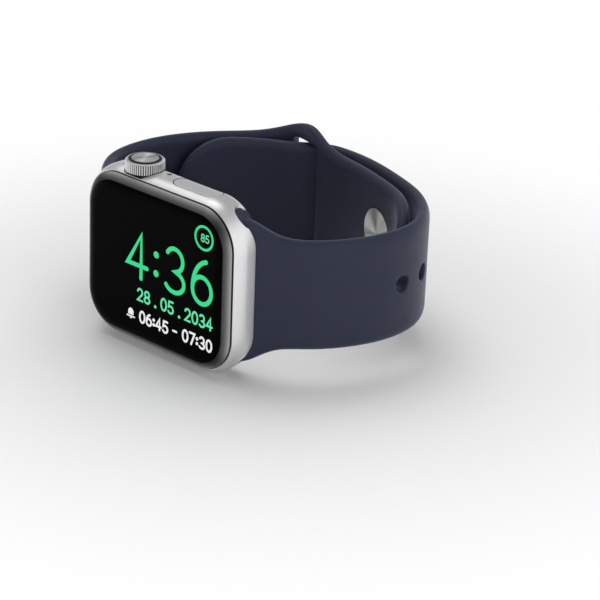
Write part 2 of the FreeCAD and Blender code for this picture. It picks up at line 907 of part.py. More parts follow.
def loop_frame(distance):
    """Point on the outer layer's centre line, and the direction towards the wrist there."""
    parameter = LOOP.parameterAtDistance(distance, LOOP.FirstParameter)
    along = LOOP.tangent(parameter)[0]
    return LOOP.value(parameter), V(-along.y, along.x, 0)


def smooth_step(value):
    value = min(max(value, 0.0), 1.0)
    return value * value * (3 - 2 * value)


def passed(distance):
    """0 before the crossing of the two layers, 1 after it."""
    return smooth_step((distance - crossing_at) / crossing_length + 0.5)


def long_depth(distance):
    """How far the holed strap lies inside the outer layer's line."""
    return (strap_thickness + layer_gap) * passed(distance)


def short_depth(distance):
    return (strap_thickness + layer_gap) * (1 - passed(distance))


def band_frame(distance, depth_of):
    """Centre and wrist-side normal of a layer that moves between the two depths."""
    ends = []
    for step in (-frame_step, frame_step):
        place = min(max(distance + step, 0.0), LOOP_LENGTH)
        point, inward = loop_frame(place)
        ends.append(point + inward * depth_of(place))
    along = (ends[1] - ends[0]).normalize()
    return (ends[0] + ends[1]) * 0.5, V(-along.y, along.x, 0)


def band_section(centre, normal, half_width, thickness):
    """A rounded rectangle: its thickness along the normal, its width along Z."""
    r = min(strap_edge, largest_edge_share * thickness)
    a = thickness / 2
    b = half_width
    k = r * (1 - math.sqrt(0.5))

    def at(u, w):
        return centre + normal * u + AXIS_Z * w

    edges = []
    for u, w, nu, nw in ((1, 1, -1, 1), (-1, 1, -1, -1), (-1, -1, 1, -1), (1, -1, 1, 1)):
        corner_start = at(u * a, w * (b - r)) if u == w else at(u * (a - r), w * b)
        corner_end = at(u * (a - r), w * b) if u == w else at(u * a, w * (b - r))
        edges.append(Part.Arc(corner_start, at(u * (a - k), w * (b - k)), corner_end).toShape())
        next_start = at(nu * (a - r), nw * b) if u == w else at(nu * a, nw * (b - r))
        edges.append(Part.makeLine(corner_end, next_start))
    return Part.Wire(edges)


def band(stations, depth_of, half_width_of, thickness_of):
    """A strap body through a section at every station, lofted in short lengths and closed at its ends."""
    sections = []
    for distance in stations:
        centre, normal = band_frame(distance, depth_of)
        sections.append(band_section(centre, normal, half_width_of(distance), thickness_of(distance)))
    faces = [Part.Face(sections[0]), Part.Face(sections[-1])]
    first = 0
    while first < len(sections) - 1:
        last = first + sections_per_loft
        if last > len(sections) - 3:
            last = len(sections) - 1
        faces += Part.makeLoft(sections[first:last + 1], False, False).Faces
        first = last
    shell = Part.makeShell(faces)
    shell.sewShape(sewing_gap)
    solid = Part.makeSolid(shell)
    if solid.Volume < 0:
        solid.reverse()
    return solid


def spaced(start, end):
    count = max(2, round(abs(end - start) / station_step))
    return [start + (end - start) * i / count for i in range(count + 1)]


def tip_cutter(tip, run, heading, depth_of):
    """What is cut away to leave a half-ellipse at a strap's end; heading is 1 or -1 along the loop."""
    centre, normal = band_frame(tip - heading * run, depth_of)
    along = V(normal.y, -normal.x, 0) * heading
    half = strap_width / 2
    start = centre - normal * tip_cut_reach
    rotation = FreeCAD.Rotation(along, AXIS_Z, normal, "XZY")
    oval = Part.Ellipse(V(0, 0, 0), max(run, half), min(run, half)).toShape()
    oval = Part.Face(Part.Wire([oval]))
    if half > run:
        oval.rotate(V(0, 0, 0), AXIS_Z, 90)
    prism = oval.extrude(V(0, 0, 2 * tip_cut_reach))
    box = Part.makeBox(2 * run, 4 * half, 2 * tip_cut_reach, V(0, -2 * half, 0))
    cutter = box.cut(prism)
    cutter.Placement = FreeCAD.Placement(start, rotation)
    return cutter


def lug_width(from_lug):
    return strap_width / 2 + lug_flare * math.exp(-(from_lug / flare_run) ** 2)


def lug_thickness(from_lug):
    return strap_thickness - throat_thinning * math.exp(-(from_lug / throat_run) ** 2)


def tail_end():
    return crossing_at + tail_length


def stud_end():
    return stud_at - stud_end_length


def short_half_width(distance):
    from_slot = distance - crossing_at
    run = rail_run_short_side if from_slot > 0 else rail_run_long_side
    rails = rail_height * math.exp(-(from_slot / run) ** 2)
    return lug_width(LOOP_LENGTH - distance) + rails


def lug_bar():
    """The round bar that slides in the case's channel, with ends that follow the case's corners."""
    outline = slab(case_length - 2 * lug_end_inset, case_width - 2 * lug_end_inset,
                   case_corner - lug_end_inset, seam_y, 0)
    return rod(lug_radius, -lug_half_length, lug_half_length, lug_x, lug_y).common(outline)


def lug_cuts():
    """The release groove along the bar, and the well of the detent."""
    groove = block(lug_x - 2 * lug_radius, groove_x, groove_floor_y, lug_y + 2 * lug_radius, -case_width, case_width)
    clearance = 2 * detent_bore_clearance
    well = back_slab(detent_length + clearance, detent_width + clearance,
                     detent_floor_y, groove_floor_y + 1, detent_x)
    return [groove, well]


def bore_through(distance, depth_of, radius, half_length):
    """A cylinder through a layer, square to it."""
    centre, normal = band_frame(distance, depth_of)
    return Part.makeCylinder(radius, 2 * half_length, centre - normal * half_length, normal)


def hole_cutters():
    """Adjustment holes, each with a chamfer on both faces."""
    cutters = []
    for i in range(-holes_before_stud, holes_after_stud + 1):
        distance = stud_at + i * hole_pitch
        centre, normal = band_frame(distance, long_depth)
        cutters.append(bore_through(distance, long_depth, hole_radius, strap_thickness))
        for side in (-1, 1):
            face = centre + normal * side * strap_thickness / 2
            cone = Part.makeCone(hole_radius, hole_radius + 2 * hole_chamfer, 2 * hole_chamfer,
                                 face - normal * side * hole_chamfer, normal * side)
            cutters.append(cone)
    return cutters


def strap_long():
    """Holed strap: outer layer from the 6 o'clock end, then through the slot and in as a tail."""
    body = band(spaced(0, tail_end() + strap_edge), long_depth, lug_width, lug_thickness)
    body = body.fuse(lug_bar())
    tip = tip_cutter(tail_end(), tail_rounding, 1, long_depth)
    return body.cut(lug_cuts() + hole_cutters() + [tip])


def slot_cutter():
    """Window through the short strap, wide enough for the long one and as long as it needs to slant through."""
    stations = spaced(crossing_at - slot_length / 2, crossing_at + slot_length / 2)
    half = strap_width / 2 + slot_clearance
    return band(stations, short_depth, lambda distance: half, lambda distance: 3 * strap_thickness)


def strap_short():
    """Strap from the 12 o'clock end: outer layer, widened slot, then inner layer with the stud."""
    stations = spaced(LOOP_LENGTH, stud_end() - strap_edge)
    body = band(stations, short_depth, short_half_width, lambda distance: lug_thickness(LOOP_LENGTH - distance))
    body = body.fuse(mirrored(lug_bar()))
    cuts = [mirrored(cutter) for cutter in lug_cuts()]
    cuts.append(tip_cutter(stud_end(), stud_end_rounding, -1, short_depth))
    cuts.append(slot_cutter())
    cuts.append(stud_disc(stud_clearance))
    cuts.append(bore_through(stud_at, short_depth, stud_pin_radius, strap_thickness))
    return body.cut(cuts)


def stud_disc(clearance=0.0):
    """Round foot of the stud on the wrist side of the inner layer."""
    centre, normal = band_frame(stud_at, short_depth)
    foot = centre + normal * (strap_thickness / 2 - stud_recess)
    return Part.makeCylinder(stud_disc_radius + clearance, stud_disc_thickness, foot, normal)


def closure_stud():
    """Disc with a headed pin that reaches out through one of the holes."""
    inner, normal = band_frame(stud_at, short_depth)
    outer = band_frame(stud_at, long_depth)[0]
    disc_body = stud_disc()
    rim = [e for e in disc_body.Edges if e.Closed][1]
    disc_body = disc_body.makeFillet(stud_disc_round, [rim])
    reach = outer.distanceToPoint(inner) + strap_thickness - stud_recess
    start = inner + normal * (strap_thickness / 2 - stud_recess)
    pin = Part.makeCylinder(stud_pin_radius, reach - stud_head_height / 2, start, normal * -1)
    head_start = start - normal * (reach - stud_head_height)
    head = Part.makeCylinder(stud_head_radius, stud_head_height, head_start, normal * -1)
    return disc_body.multiFuse([pin, head]).removeSplitter()


def detent():
    """Bar in the 6 o'clock lug that the release button pushes down."""
    return back_slab(detent_length, detent_width, detent_bottom_y, detent_top_y, detent_x)


def detent_spring():
    width = detent_width - 2 * detent_spring_side
    span = detent_length - 2 * detent_spring_inset
    leaf = bowed_strip(width, span, detent_bottom_y - detent_floor_y, leaf_thickness)
    return standing_leaf(leaf, detent_x - width / 2, detent_floor_y)


def standing_leaf(leaf, x, y):
    """Turn a bowed strip so that it spans Z and bows towards +Y, with its ends on a floor."""
    leaf.rotate(V(0, 0, 0), AXIS_X, -90)
    leaf.translate(V(x, y, 0))
    return leaf


def release_button():
    body = back_slab(release_length, release_width, release_front_y, release_back_y, release_x)
    face = [e for e in body.Edges if e.BoundBox.YMin > release_back_y - tiny]
    body = body.makeChamfer(release_sink, face)
    half = release_length / 2 + release_flange
    width = release_width / 2
    flange = block(release_x - width / 2, release_x + width / 2, release_front_y,
                   release_front_y + release_flange, -half, half)
    return body.fuse(flange).removeSplitter()


def release_spring():
    rise = release_front_y - release_floor_y
    width = release_width / 3
    leaf = bowed_strip(width, release_length - 2 * release_spring_inset, rise, leaf_thickness)
    return standing_leaf(leaf, release_x - release_width / 2 + hidden_gap, release_floor_y)


PARTS = {
    "housing": housing,
    "front_crystal": front_crystal,
    "crystal_gasket": crystal_gasket,
    "display_panel": display_panel,
    "display_plate": display_plate,
    "antenna_sheet": antenna_sheet,
    "back_cover": back_cover,
    "back_seal": back_seal,
    "back_crystal": back_crystal,
    "electrode_ring": electrode_ring,
    "sensor_board": sensor_board,
    "sensor_leds": sensor_leds,
    "photodiodes": photodiodes,
    "light_baffle": light_baffle,
    "charging_coil": charging_coil,
    "alignment_magnet": alignment_magnet,
    "ferrite_disc": ferrite_disc,
    "inner_plate": inner_plate,
    "battery": battery,
    "logic_board": logic_board,
    "board_packages": board_packages,
    "haptic_case": haptic_case,
    "haptic_mass": haptic_mass,
    "haptic_springs": haptic_springs,
    "speaker": speaker,
    "speaker_mesh": speaker_mesh,
    "pressure_vent": pressure_vent,
    "microphone": microphone,
    "crown_ring": crown_ring,
    "crown_cap": crown_cap,
    "crown_dark_ring": crown_dark_ring,
    "crown_shaft": crown_shaft,
    "crown_o_rings": crown_o_rings,
    "crown_bushing": crown_bushing,
    "encoder_wheel": encoder_wheel,
    "encoder_sensor": encoder_sensor,
    "crown_thrust_plate": crown_thrust_plate,
    "crown_switch": crown_switch,
    "crown_bracket": crown_bracket,
    "bracket_screws": bracket_screws,
    "side_button": side_button,
    "button_stems": button_stems,
    "button_o_rings": button_o_rings,
    "button_switch": button_switch,
    "button_bracket": button_bracket,
    "strap_long": strap_long,
    "strap_short": strap_short,
    "closure_stud": closure_stud,
    "detent_long": detent,
    "detent_short": lambda: mirrored(detent()),
    "detent_spring_long": detent_spring,
    "detent_spring_short": lambda: mirrored(detent_spring()),
    "release_button_long": release_button,
    "release_button_short": lambda: mirrored(release_button()),
    "release_spring_long": release_spring,
    "release_spring_short": lambda: mirrored(release_spring()),
}

os.makedirs("parts", exist_ok=True)
for name, make in PARTS.items():
    shape = make()
    shape.exportStep("parts/" + name + ".step")
    box = shape.BoundBox
    print(name, "solids", len(shape.Solids), "valid", shape.isValid(), "volume", round(shape.Volume, 2),
          "box", [round(v, 2) for v in (box.XMin, box.YMin, box.ZMin, box.XMax, box.YMax, box.ZMax)])
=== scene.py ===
import json
import math

import bmesh
import bpy
import numpy as np
from mathutils import Matrix, Vector


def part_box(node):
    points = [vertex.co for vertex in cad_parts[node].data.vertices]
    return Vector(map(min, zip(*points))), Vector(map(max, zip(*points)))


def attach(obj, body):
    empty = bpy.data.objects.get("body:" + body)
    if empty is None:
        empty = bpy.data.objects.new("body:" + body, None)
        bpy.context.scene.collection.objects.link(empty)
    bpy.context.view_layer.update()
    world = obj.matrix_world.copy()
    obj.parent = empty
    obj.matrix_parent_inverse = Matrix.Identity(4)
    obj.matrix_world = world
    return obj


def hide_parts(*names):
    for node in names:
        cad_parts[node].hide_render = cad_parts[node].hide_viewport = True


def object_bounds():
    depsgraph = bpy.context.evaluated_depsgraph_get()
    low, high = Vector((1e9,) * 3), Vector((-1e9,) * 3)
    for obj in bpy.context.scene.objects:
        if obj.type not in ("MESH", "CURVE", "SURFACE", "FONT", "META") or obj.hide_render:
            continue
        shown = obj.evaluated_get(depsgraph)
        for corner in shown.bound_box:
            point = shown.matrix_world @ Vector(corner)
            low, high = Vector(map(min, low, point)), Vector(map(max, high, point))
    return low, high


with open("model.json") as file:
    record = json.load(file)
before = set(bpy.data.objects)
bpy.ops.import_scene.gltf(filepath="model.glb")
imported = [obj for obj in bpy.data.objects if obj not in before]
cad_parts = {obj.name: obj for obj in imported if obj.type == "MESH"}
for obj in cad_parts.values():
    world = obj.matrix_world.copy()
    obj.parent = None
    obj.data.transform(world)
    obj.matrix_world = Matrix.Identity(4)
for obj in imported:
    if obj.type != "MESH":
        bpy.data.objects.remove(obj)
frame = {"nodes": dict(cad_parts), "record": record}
cad_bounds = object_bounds()

MM = 0.001
AXIS_Z = Vector((0, 0, 1))

# The strap's route and sizes, in millimetres and from the same numbers as its solids.
# The route is given from the lug of each side: outwards from the case, then away from the glass.
LUG_X = 17.2
LUG_Y = -4.85
LONG_SIDE_ROUTE = [
    (3.2, 2.45), (9.2, 6.85), (13.6, 12.95), (16.4, 23.75), (15.0, 31.05),
    (10.7, 37.15), (4.8, 41.65), (-2.1, 44.65), (-9.2, 46.95), (-16.4, 48.25),
]
SHORT_SIDE_ROUTE = [
    (3.2, 2.45), (8.9, 6.65), (13.1, 12.15), (14.7, 18.95), (14.1, 25.95),
    (11.6, 32.55), (7.7, 38.35), (2.6, 43.05), (-2.7, 46.15), (-9.7, 47.95),
]
STRAP_WIDTH = 21.2
STRAP_THICKNESS = 2.5
LAYER_GAP = 1.2

# The strap's round long edges, which are tighter at the lug
STRAP_EDGE = 1.1
STRAP_EDGE_REACH = 2.1
EDGE_SHARE_OF_THICKNESS = 0.45
EDGE_SHARE_AT_LUG = 0.5
EDGE_SOFTENING_RUN = 12
EDGE_SOFTENING_DELAY = 0.3

# The throat beside the lug: thinner and wider than the rest
THROAT_THINNING = 0.25
THROAT_RUN = 3.0
LUG_FLARE = 3.4
FLARE_RUN = 5.0

# Where the layers cross, with the slot and the rails that widen the strap beside it
CROSSING_AT = 85.5
CROSSING_LENGTH = 12.0
SLOT_LENGTH = 8.4
SLOT_CLEARANCE = 0.5
SLOT_CORNER = 1.0
SLOT_ROUND = 0.45
RAIL_HEIGHT = 3.6
RAIL_RUN_SHORT_SIDE = 8.5
RAIL_RUN_LONG_SIDE = 6.3

# The two inner ends, the holes and the stud
TAIL_LENGTH = 30.5
TAIL_ROUNDING = 12.0
STUD_AT = 58.7
STUD_END_LENGTH = 23.5
STUD_END_ROUNDING = 14.0
HOLE_PITCH = 7.0
HOLES_BEFORE_STUD = 4
HOLES_AFTER_STUD = 2
HOLE_RADIUS = 1.65
HOLE_ROUND = 0.3
STUD_RECESS = 0.8
STUD_RECESS_RADIUS = 5.1
STUD_RECESS_ROUND = 0.15
STUD_PIN_RADIUS = 1.25
STUD_BORE_ROUND = 0.1

# The lug bars, their cuts for the release buttons and detents, and the case's outline
LUG_RADIUS = 1.6
LUG_HALF_LENGTH = 15.9
GROOVE_FLOOR = 0.75
GROOVE_SIDE = 0.7
WELL_CLEARANCE = 0.04
CASE_HALF_LENGTH = 19.65
CASE_HALF_WIDTH = 16.65
CASE_CORNER = 8.35

# How finely the strap's route and surface are divided; lengths in millimetres
ROUTE_SAMPLES = 6000
HEADING_STEP = 0.05
STATION_STEP = 0.8
TIP_STEPS = 16
EDGE_STEPS = 6
ACROSS_STEPS = 22
MOUTH_STEPS = 4
CORNER_STEPS = 10
BAR_STEPS = 48
SHARP_DEGREES = 40

# Booleans: how far a cutter reaches past the strap, and the size of crumb that is merged away after them
CUTTER_REACH = 2.5
RECESS_CUTTER_REACH = 0.5
CASE_CUTTER_REACH = 5
CRUMB_SIZE = 0.01

# Colours and textures of the finishes; lengths in metres
SILVER = (0.86, 0.86, 0.865)
CROWN_FACE_SILVER = (0.72, 0.72, 0.725)
STUD_FACE_SILVER = (0.86, 0.86, 0.84)
STEEL = (0.60, 0.60, 0.61)
GLASS_BLACK = (0.0005, 0.0005, 0.0006)
GLASS_EDGE = (0.74, 0.74, 0.75)
SHEEN_TINT = (0.7, 0.8, 1.0, 1.0)
NOISE_ROUGHNESS = 0.55
BLAST_GRAIN = 0.09 * MM
BLAST_DEPTH = 0.0015 * MM
STREAK_STRETCH = (0.06, 1.0, 1.0)
TURNING_PITCH = 0.07 * MM
TURNING_DEPTH = 0.0006 * MM
WIRE_PITCH = 0.3 * MM
WEAVE_PITCH = 0.18 * MM

# The lit figures, in millimetres on the glass: text, right end, base, height and stroke
TIME = ("4:36", 15.7, -2.8, 9.3, 0.88)
DATE = ("28 . 05 . 2034", 15.7, -7.0, 2.5, 0.42)
ALARM = ("06:45 - 07:30", 15.7, -11.3, 2.4, 0.44)
CHARGE = ("85", 14.4015, 9.7, 1.5, 0.24)
BELL = (-7.0, -11.3, 2.4, 0.3)
RING_CENTRE = (13.1, 10.45)
RING_RADIUS = 2.2
RING_STROKE = 0.24
LIT_LIFT = 0.002
LIT_THICKNESS = 0.01

# Sizes in a figure's cell, which is 1 high
FIGURE_WIDTH = 0.62
FIGURE_GAP = 0.13
DOTS = {":": (0.28, 0.68), ".": (0.05,)}
DOT_WIDTH = 0.2
SPACE_WIDTH = 0.22
DOT_SIZE = 0.78
CAP_STEPS = 8
SAME_POINT = 1e-6

# Floor, in metres: it fades to white between two distances from the middle of the watch
GROUND_HALF_SIZE = 3.0
FADE_CENTRE = (0, 0.02, 0)
FADE_RANGE = (0.025, 0.12)

# World: the strength of its light, and of what is seen in it, which is white low down and dims overhead.
# The slope makes it dim later towards +X.
AMBIENT = 0.34
CEILING = 0.4
CEILING_RANGE = (0.15, 0.75)
CEILING_SLOPE = -0.5

# Lamps: name, place, target, width, height, watts, and whether metal and glass mirror them
LAMPS = (
    ("key", (-0.15, 0.20, 0.60), (0, 0.01, 0), 0.8, 0.8, 2.6, False),
    ("edge", (-0.28, 0.03, 0.62), (0, 0, 0), 0.30, 0.45, 0.62, True),
    ("fill", (0.70, -0.25, 0.12), (0, 0.01, 0), 0.8, 0.4, 2.3, False),
)

# Camera: azimuth, elevation and lean in degrees; right, up and back from the middle of the seam in metres
CAMERA_ANGLES = (42.576, 23.036, 2.2305)
CAMERA_OFFSET = (0.025673, -0.005808, 0.461667)
SEAM_DEPTH = 0.35 * MM
LENS = 150
SENSOR_WIDTH = 36
CLIP_START = 0.01


# ---------------------------------------------------------------- materials

class Finish:
    """A material with short calls for the nodes that feed its shader."""

    def __init__(self, name):
        self.material = bpy.data.materials.new(name)
        self.material.use_nodes = True
        self.tree = self.material.node_tree
        self.shader = self.tree.nodes["Principled BSDF"]
        self.place = self.add("ShaderNodeTexCoord").outputs["Object"]

    def add(self, kind, **settings):
        """A new node, with its own settings."""
        node = self.tree.nodes.new(kind)
        for key, value in settings.items():
            setattr(node, key, value)
        return node

    def link(self, source, target):
        self.tree.links.new(source, target)

    def set(self, **values):
        """Uniform values, set on the shader's own sockets."""
        for key, value in values.items():
            self.shader.inputs[key.replace("_", " ")].default_value = value

    def feed(self, name, source):
        """Link a source to one of the shader's sockets."""
        self.link(source, self.shader.inputs[name])

    def noise(self, size, detail=3, place=None):
        """Noise between about 0.3 and 0.7, with features of that size in metres."""
        node = self.add("ShaderNodeTexNoise")
        for key, value in (("Scale", 1.0 / size), ("Detail", detail), ("Roughness", NOISE_ROUGHNESS)):
            node.inputs[key].default_value = value
        self.link(place or self.place, node.inputs["Vector"])
        return node.outputs["Fac"]

    def range(self, source, low, high, start=0.3, end=0.7, smooth=False):
        """Map start..end of the source to low..high."""
        node = self.add("ShaderNodeMapRange")
        node.interpolation_type = "SMOOTHSTEP" if smooth else "LINEAR"
        for key, value in (("From Min", start), ("From Max", end), ("To Min", low), ("To Max", high)):
            node.inputs[key].default_value = value
        self.link(source, node.inputs["Value"])
        return node.outputs["Result"]

    def around(self, source, middle, spread):
        """Map noise to middle - spread .. middle + spread."""
        return self.range(source, middle - spread, middle + spread)

    def blend(self, factor, first, second):
        """A colour between two colours."""
        node = self.add("ShaderNodeMix", data_type="RGBA")
        self.link(factor, node.inputs[0])
        for socket, colour in ((node.inputs[6], first), (node.inputs[7], second)):
            socket.default_value = (*colour, 1)
        return node.outputs[2]

    def compute(self, operation, first, second=None):
        """A Math node; its inputs are sockets or numbers."""
        node = self.add("ShaderNodeMath", operation=operation)
        for socket, value in zip(node.inputs, (first, second)):
            if isinstance(value, (int, float)):
                socket.default_value = value
            elif value is not None:
                self.link(value, socket)
        return node.outputs[0]

    def waves(self, source, pitch):
        """A sine between -1 and 1 that repeats at that pitch in metres."""
        return self.compute("SINE", self.compute("MULTIPLY", source, 2 * math.pi / pitch))

    def axis(self, letter):
        """One coordinate of the place on the object, in metres."""
        node = self.add("ShaderNodeSeparateXYZ")
        self.link(self.place, node.inputs[0])
        return node.outputs[letter]

    def from_axis(self, centre, axis):
        """Distance from an axis through the centre, in metres, and the direction square to both."""
        offset = self.add("ShaderNodeVectorMath", operation="SUBTRACT")
        self.link(self.place, offset.inputs[0])
        offset.inputs[1].default_value = centre
        square = self.add("ShaderNodeVectorMath", operation="CROSS_PRODUCT")
        self.link(offset.outputs[0], square.inputs[0])
        square.inputs[1].default_value = axis
        length = self.add("ShaderNodeVectorMath", operation="LENGTH")
        self.link(square.outputs[0], length.inputs[0])
        return length.outputs["Value"], square.outputs[0]

    def relief(self, height, depth):
        """Bump of that depth in metres, for a height between 0 and 1, on top of any bump so far."""
        node = self.add("ShaderNodeBump")
        node.inputs["Distance"].default_value = depth
        self.link(height, node.inputs["Height"])
        normal = self.shader.inputs["Normal"]
        if normal.links:
            self.link(normal.links[0].from_socket, node.inputs["Normal"])
        self.feed("Normal", node.outputs[0])


def shade(colour, factor):
    """A colour made darker or lighter."""
    return tuple(channel * factor for channel in colour)


def blasted(finish, roughness):
    """Give a finish the fine grain of blasted metal."""
    grain = finish.noise(BLAST_GRAIN, detail=4)
    finish.feed("Roughness", finish.around(grain, roughness, spread=0.03))
    finish.relief(grain, BLAST_DEPTH)
    finish.set(Metallic=1.0)
    return finish.material


def satin_metal(name, colour, roughness):
    """Blasted and anodised or plated metal, with a slight unevenness."""
    finish = Finish(name)
    broad = finish.noise(6 * MM, detail=2)
    finish.feed("Base Color", finish.blend(broad, shade(colour, 0.97), colour))
    return blasted(finish, roughness)


def fluted_metal(name, colour, roughness):
    """Blasted metal round the crown's axis, darker in the bottoms of its flutes."""
    finish = Finish(name)
    low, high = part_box("crown_ring")
    radius = (high.x - low.x) / 2
    distance = finish.from_axis((low + high) / 2, (0, 0, 1))[0]
    flutes = finish.range(distance, 0.0, 1.0, radius - 0.16 * MM, radius - 0.04 * MM, smooth=True)
    face = finish.range(finish.axis("Z"), 0.0, 1.0, high.z - 0.3 * MM, high.z - 0.2 * MM)
    lit = finish.compute("MAXIMUM", flutes, face)
    finish.feed("Base Color", finish.blend(lit, shade(colour, 0.12), colour))
    return blasted(finish, roughness)


def brushed_metal(name, colour, roughness):
    """Rolled or brushed sheet: streaks along X."""
    finish = Finish(name)
    stretch = finish.add("ShaderNodeMapping")
    stretch.inputs["Scale"].default_value = STREAK_STRETCH
    finish.link(finish.place, stretch.inputs["Vector"])
    streaks = finish.noise(0.12 * MM, place=stretch.outputs[0])
    finish.feed("Base Color", finish.blend(streaks, shade(colour, 0.8), colour))
    finish.feed("Roughness", finish.around(streaks, roughness, spread=0.08))
    finish.relief(streaks, 0.002 * MM)
    finish.set(Metallic=1.0)
    return finish.material


def turned_metal(name, colour, centre, axis):
    """Metal faced on a lathe: fine rings round an axis, which draw light out into a fan."""
    finish = Finish(name)
    distance, around = finish.from_axis(centre, axis)
    outward = finish.add("ShaderNodeVectorMath", operation="CROSS_PRODUCT")
    outward.inputs[0].default_value = axis
    finish.link(around, outward.inputs[1])
    rings = finish.waves(distance, TURNING_PITCH)
    finish.feed("Base Color", finish.blend(finish.noise(0.8 * MM), shade(colour, 0.93), colour))
    finish.feed("Roughness", finish.range(rings, 0.47, 0.55, -1, 1))
    finish.relief(rings, TURNING_DEPTH)
    finish.feed("Tangent", outward.outputs[0])
    finish.set(Metallic=1.0, Anisotropic=1.0)
    return finish.material


def elastomer(name, colour):
    """Smooth moulded fluoroelastomer: soft sheen, very fine tooth, faint cloudiness."""
    finish = Finish(name)
    cloud = finish.noise(9 * MM)
    tooth = finish.noise(0.11 * MM)
    waviness = finish.noise(3.5 * MM, detail=2)
    finish.feed("Base Color", finish.blend(cloud, shade(colour, 0.9), shade(colour, 1.08)))
    finish.feed("Roughness", finish.range(finish.noise(1.6 * MM, detail=4), 0.46, 0.56))
    finish.relief(tooth, 0.0035 * MM)
    finish.relief(waviness, 0.015 * MM)
    finish.set(Specular_IOR_Level=0.3, Sheen_Weight=0.25, Sheen_Roughness=0.35, Sheen_Tint=SHEEN_TINT)
    return finish.material


def moulded_plastic(name, colour, roughness, gloss=0.5):
    """Moulded plastic or solder mask: spark-eroded texture."""
    finish = Finish(name)
    texture = finish.noise(0.15 * MM)
    finish.feed("Base Color", finish.blend(finish.noise(2 * MM), shade(colour, 0.88), colour))
    finish.feed("Roughness", finish.around(texture, roughness, spread=0.06))
    finish.relief(texture, 0.003 * MM)
    finish.set(Specular_IOR_Level=gloss)
    return finish.material


def cover_glass(name):
    """Black-backed cover glass. Its clear outer edge gathers light past the black print."""
    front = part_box("front_crystal")[0].y
    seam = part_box("housing")[0].y
    print_end = front + 0.5 * MM
    finish = Finish(name)
    depth = finish.axis("Y")
    print_edge = finish.range(depth, 0.0, 0.12, front + 0.36 * MM, print_end, smooth=True)
    glow = finish.compute("POWER", finish.range(depth, 0.0, 0.85, print_end, seam), 1.5)
    rim = finish.range(depth, 1.0, 0.0, seam - 0.34 * MM, seam - 0.24 * MM)
    edge = finish.compute("MULTIPLY", finish.compute("ADD", print_edge, glow), rim)
    past_straights = []
    for letter, half in (("X", CASE_HALF_LENGTH), ("Z", CASE_HALF_WIDTH)):
        place = finish.compute("ABSOLUTE", finish.axis(letter))
        past_straights.append(finish.compute("SUBTRACT", place, (half - CASE_CORNER) * MM))
    into_corner = finish.compute("MINIMUM", *past_straights)
    corner = finish.range(into_corner, 1.0, 0.3, 1.2 * MM, 4.8 * MM, smooth=True)
    edge = finish.compute("MULTIPLY", edge, corner)
    finish.feed("Base Color", finish.blend(edge, GLASS_BLACK, GLASS_EDGE))
    finish.feed("Roughness", finish.range(finish.noise(4 * MM), 0.02, 0.045))
    finish.set(Specular_IOR_Level=0.02)
    return finish.material


def clear_crystal(name, colour):
    """Dark polished crystal that the sensors look out through."""
    finish = Finish(name)
    finish.feed("Base Color", finish.blend(finish.noise(4 * MM), shade(colour, 0.9), colour))
    finish.feed("Roughness", finish.range(finish.noise(0.8 * MM), 0.015, 0.035))
    finish.set(Transmission_Weight=0.9, IOR=1.52)
    return finish.material


def light_figure(name, colour):
    """Lit pixels seen through the glass: even light with a fine pixel grid and the glass's gloss."""
    finish = Finish(name)
    grid = finish.noise(0.08 * MM, detail=1)
    finish.feed("Emission Color", finish.blend(grid, shade(colour, 0.94), colour))
    finish.feed("Roughness", finish.range(grid, 0.03, 0.05))
    finish.feed("Base Color", finish.blend(grid, shade(colour, 0.015), shade(colour, 0.02)))
    finish.set(Emission_Strength=1.0, Specular_IOR_Level=0.04)
    return finish.material


def wound_copper(name, colour):
    """Enamelled wire wound round the Y axis."""
    finish = Finish(name)
    turns = finish.waves(finish.from_axis((0, 0, 0), (0, 1, 0))[0], WIRE_PITCH)
    finish.feed("Base Color", finish.blend(finish.range(turns, 0, 1, -1, 1), shade(colour, 0.35), colour))
    finish.feed("Roughness", finish.range(turns, 0.4, 0.25, -1, 1))
    finish.relief(turns, 0.03 * MM)
    finish.set(Metallic=1.0)
    return finish.material


def woven_mesh(name, colour):
    """Fine acoustic mesh."""
    finish = Finish(name)
    wires = [finish.compute("ABSOLUTE", finish.waves(finish.axis(letter), WEAVE_PITCH)) for letter in "XY"]
    weave = finish.compute("MAXIMUM", *wires)
    finish.feed("Base Color", finish.blend(weave, shade(colour, 0.1), colour))
    finish.feed("Roughness", finish.range(weave, 0.6, 0.35, 0, 1))
    finish.relief(weave, 0.02 * MM)
    finish.set(Metallic=1.0)
    return finish.material


def black_rubber(name):
    """Seals and O-rings."""
    finish = Finish(name)
    cloud = finish.noise(1 * MM)
    finish.feed("Base Color", finish.blend(cloud, (0.006, 0.006, 0.006), (0.014, 0.014, 0.014)))
    finish.feed("Roughness", finish.range(finish.noise(0.3 * MM), 0.5, 0.65))
    finish.relief(finish.noise(0.1 * MM), 0.003 * MM)
    return finish.material


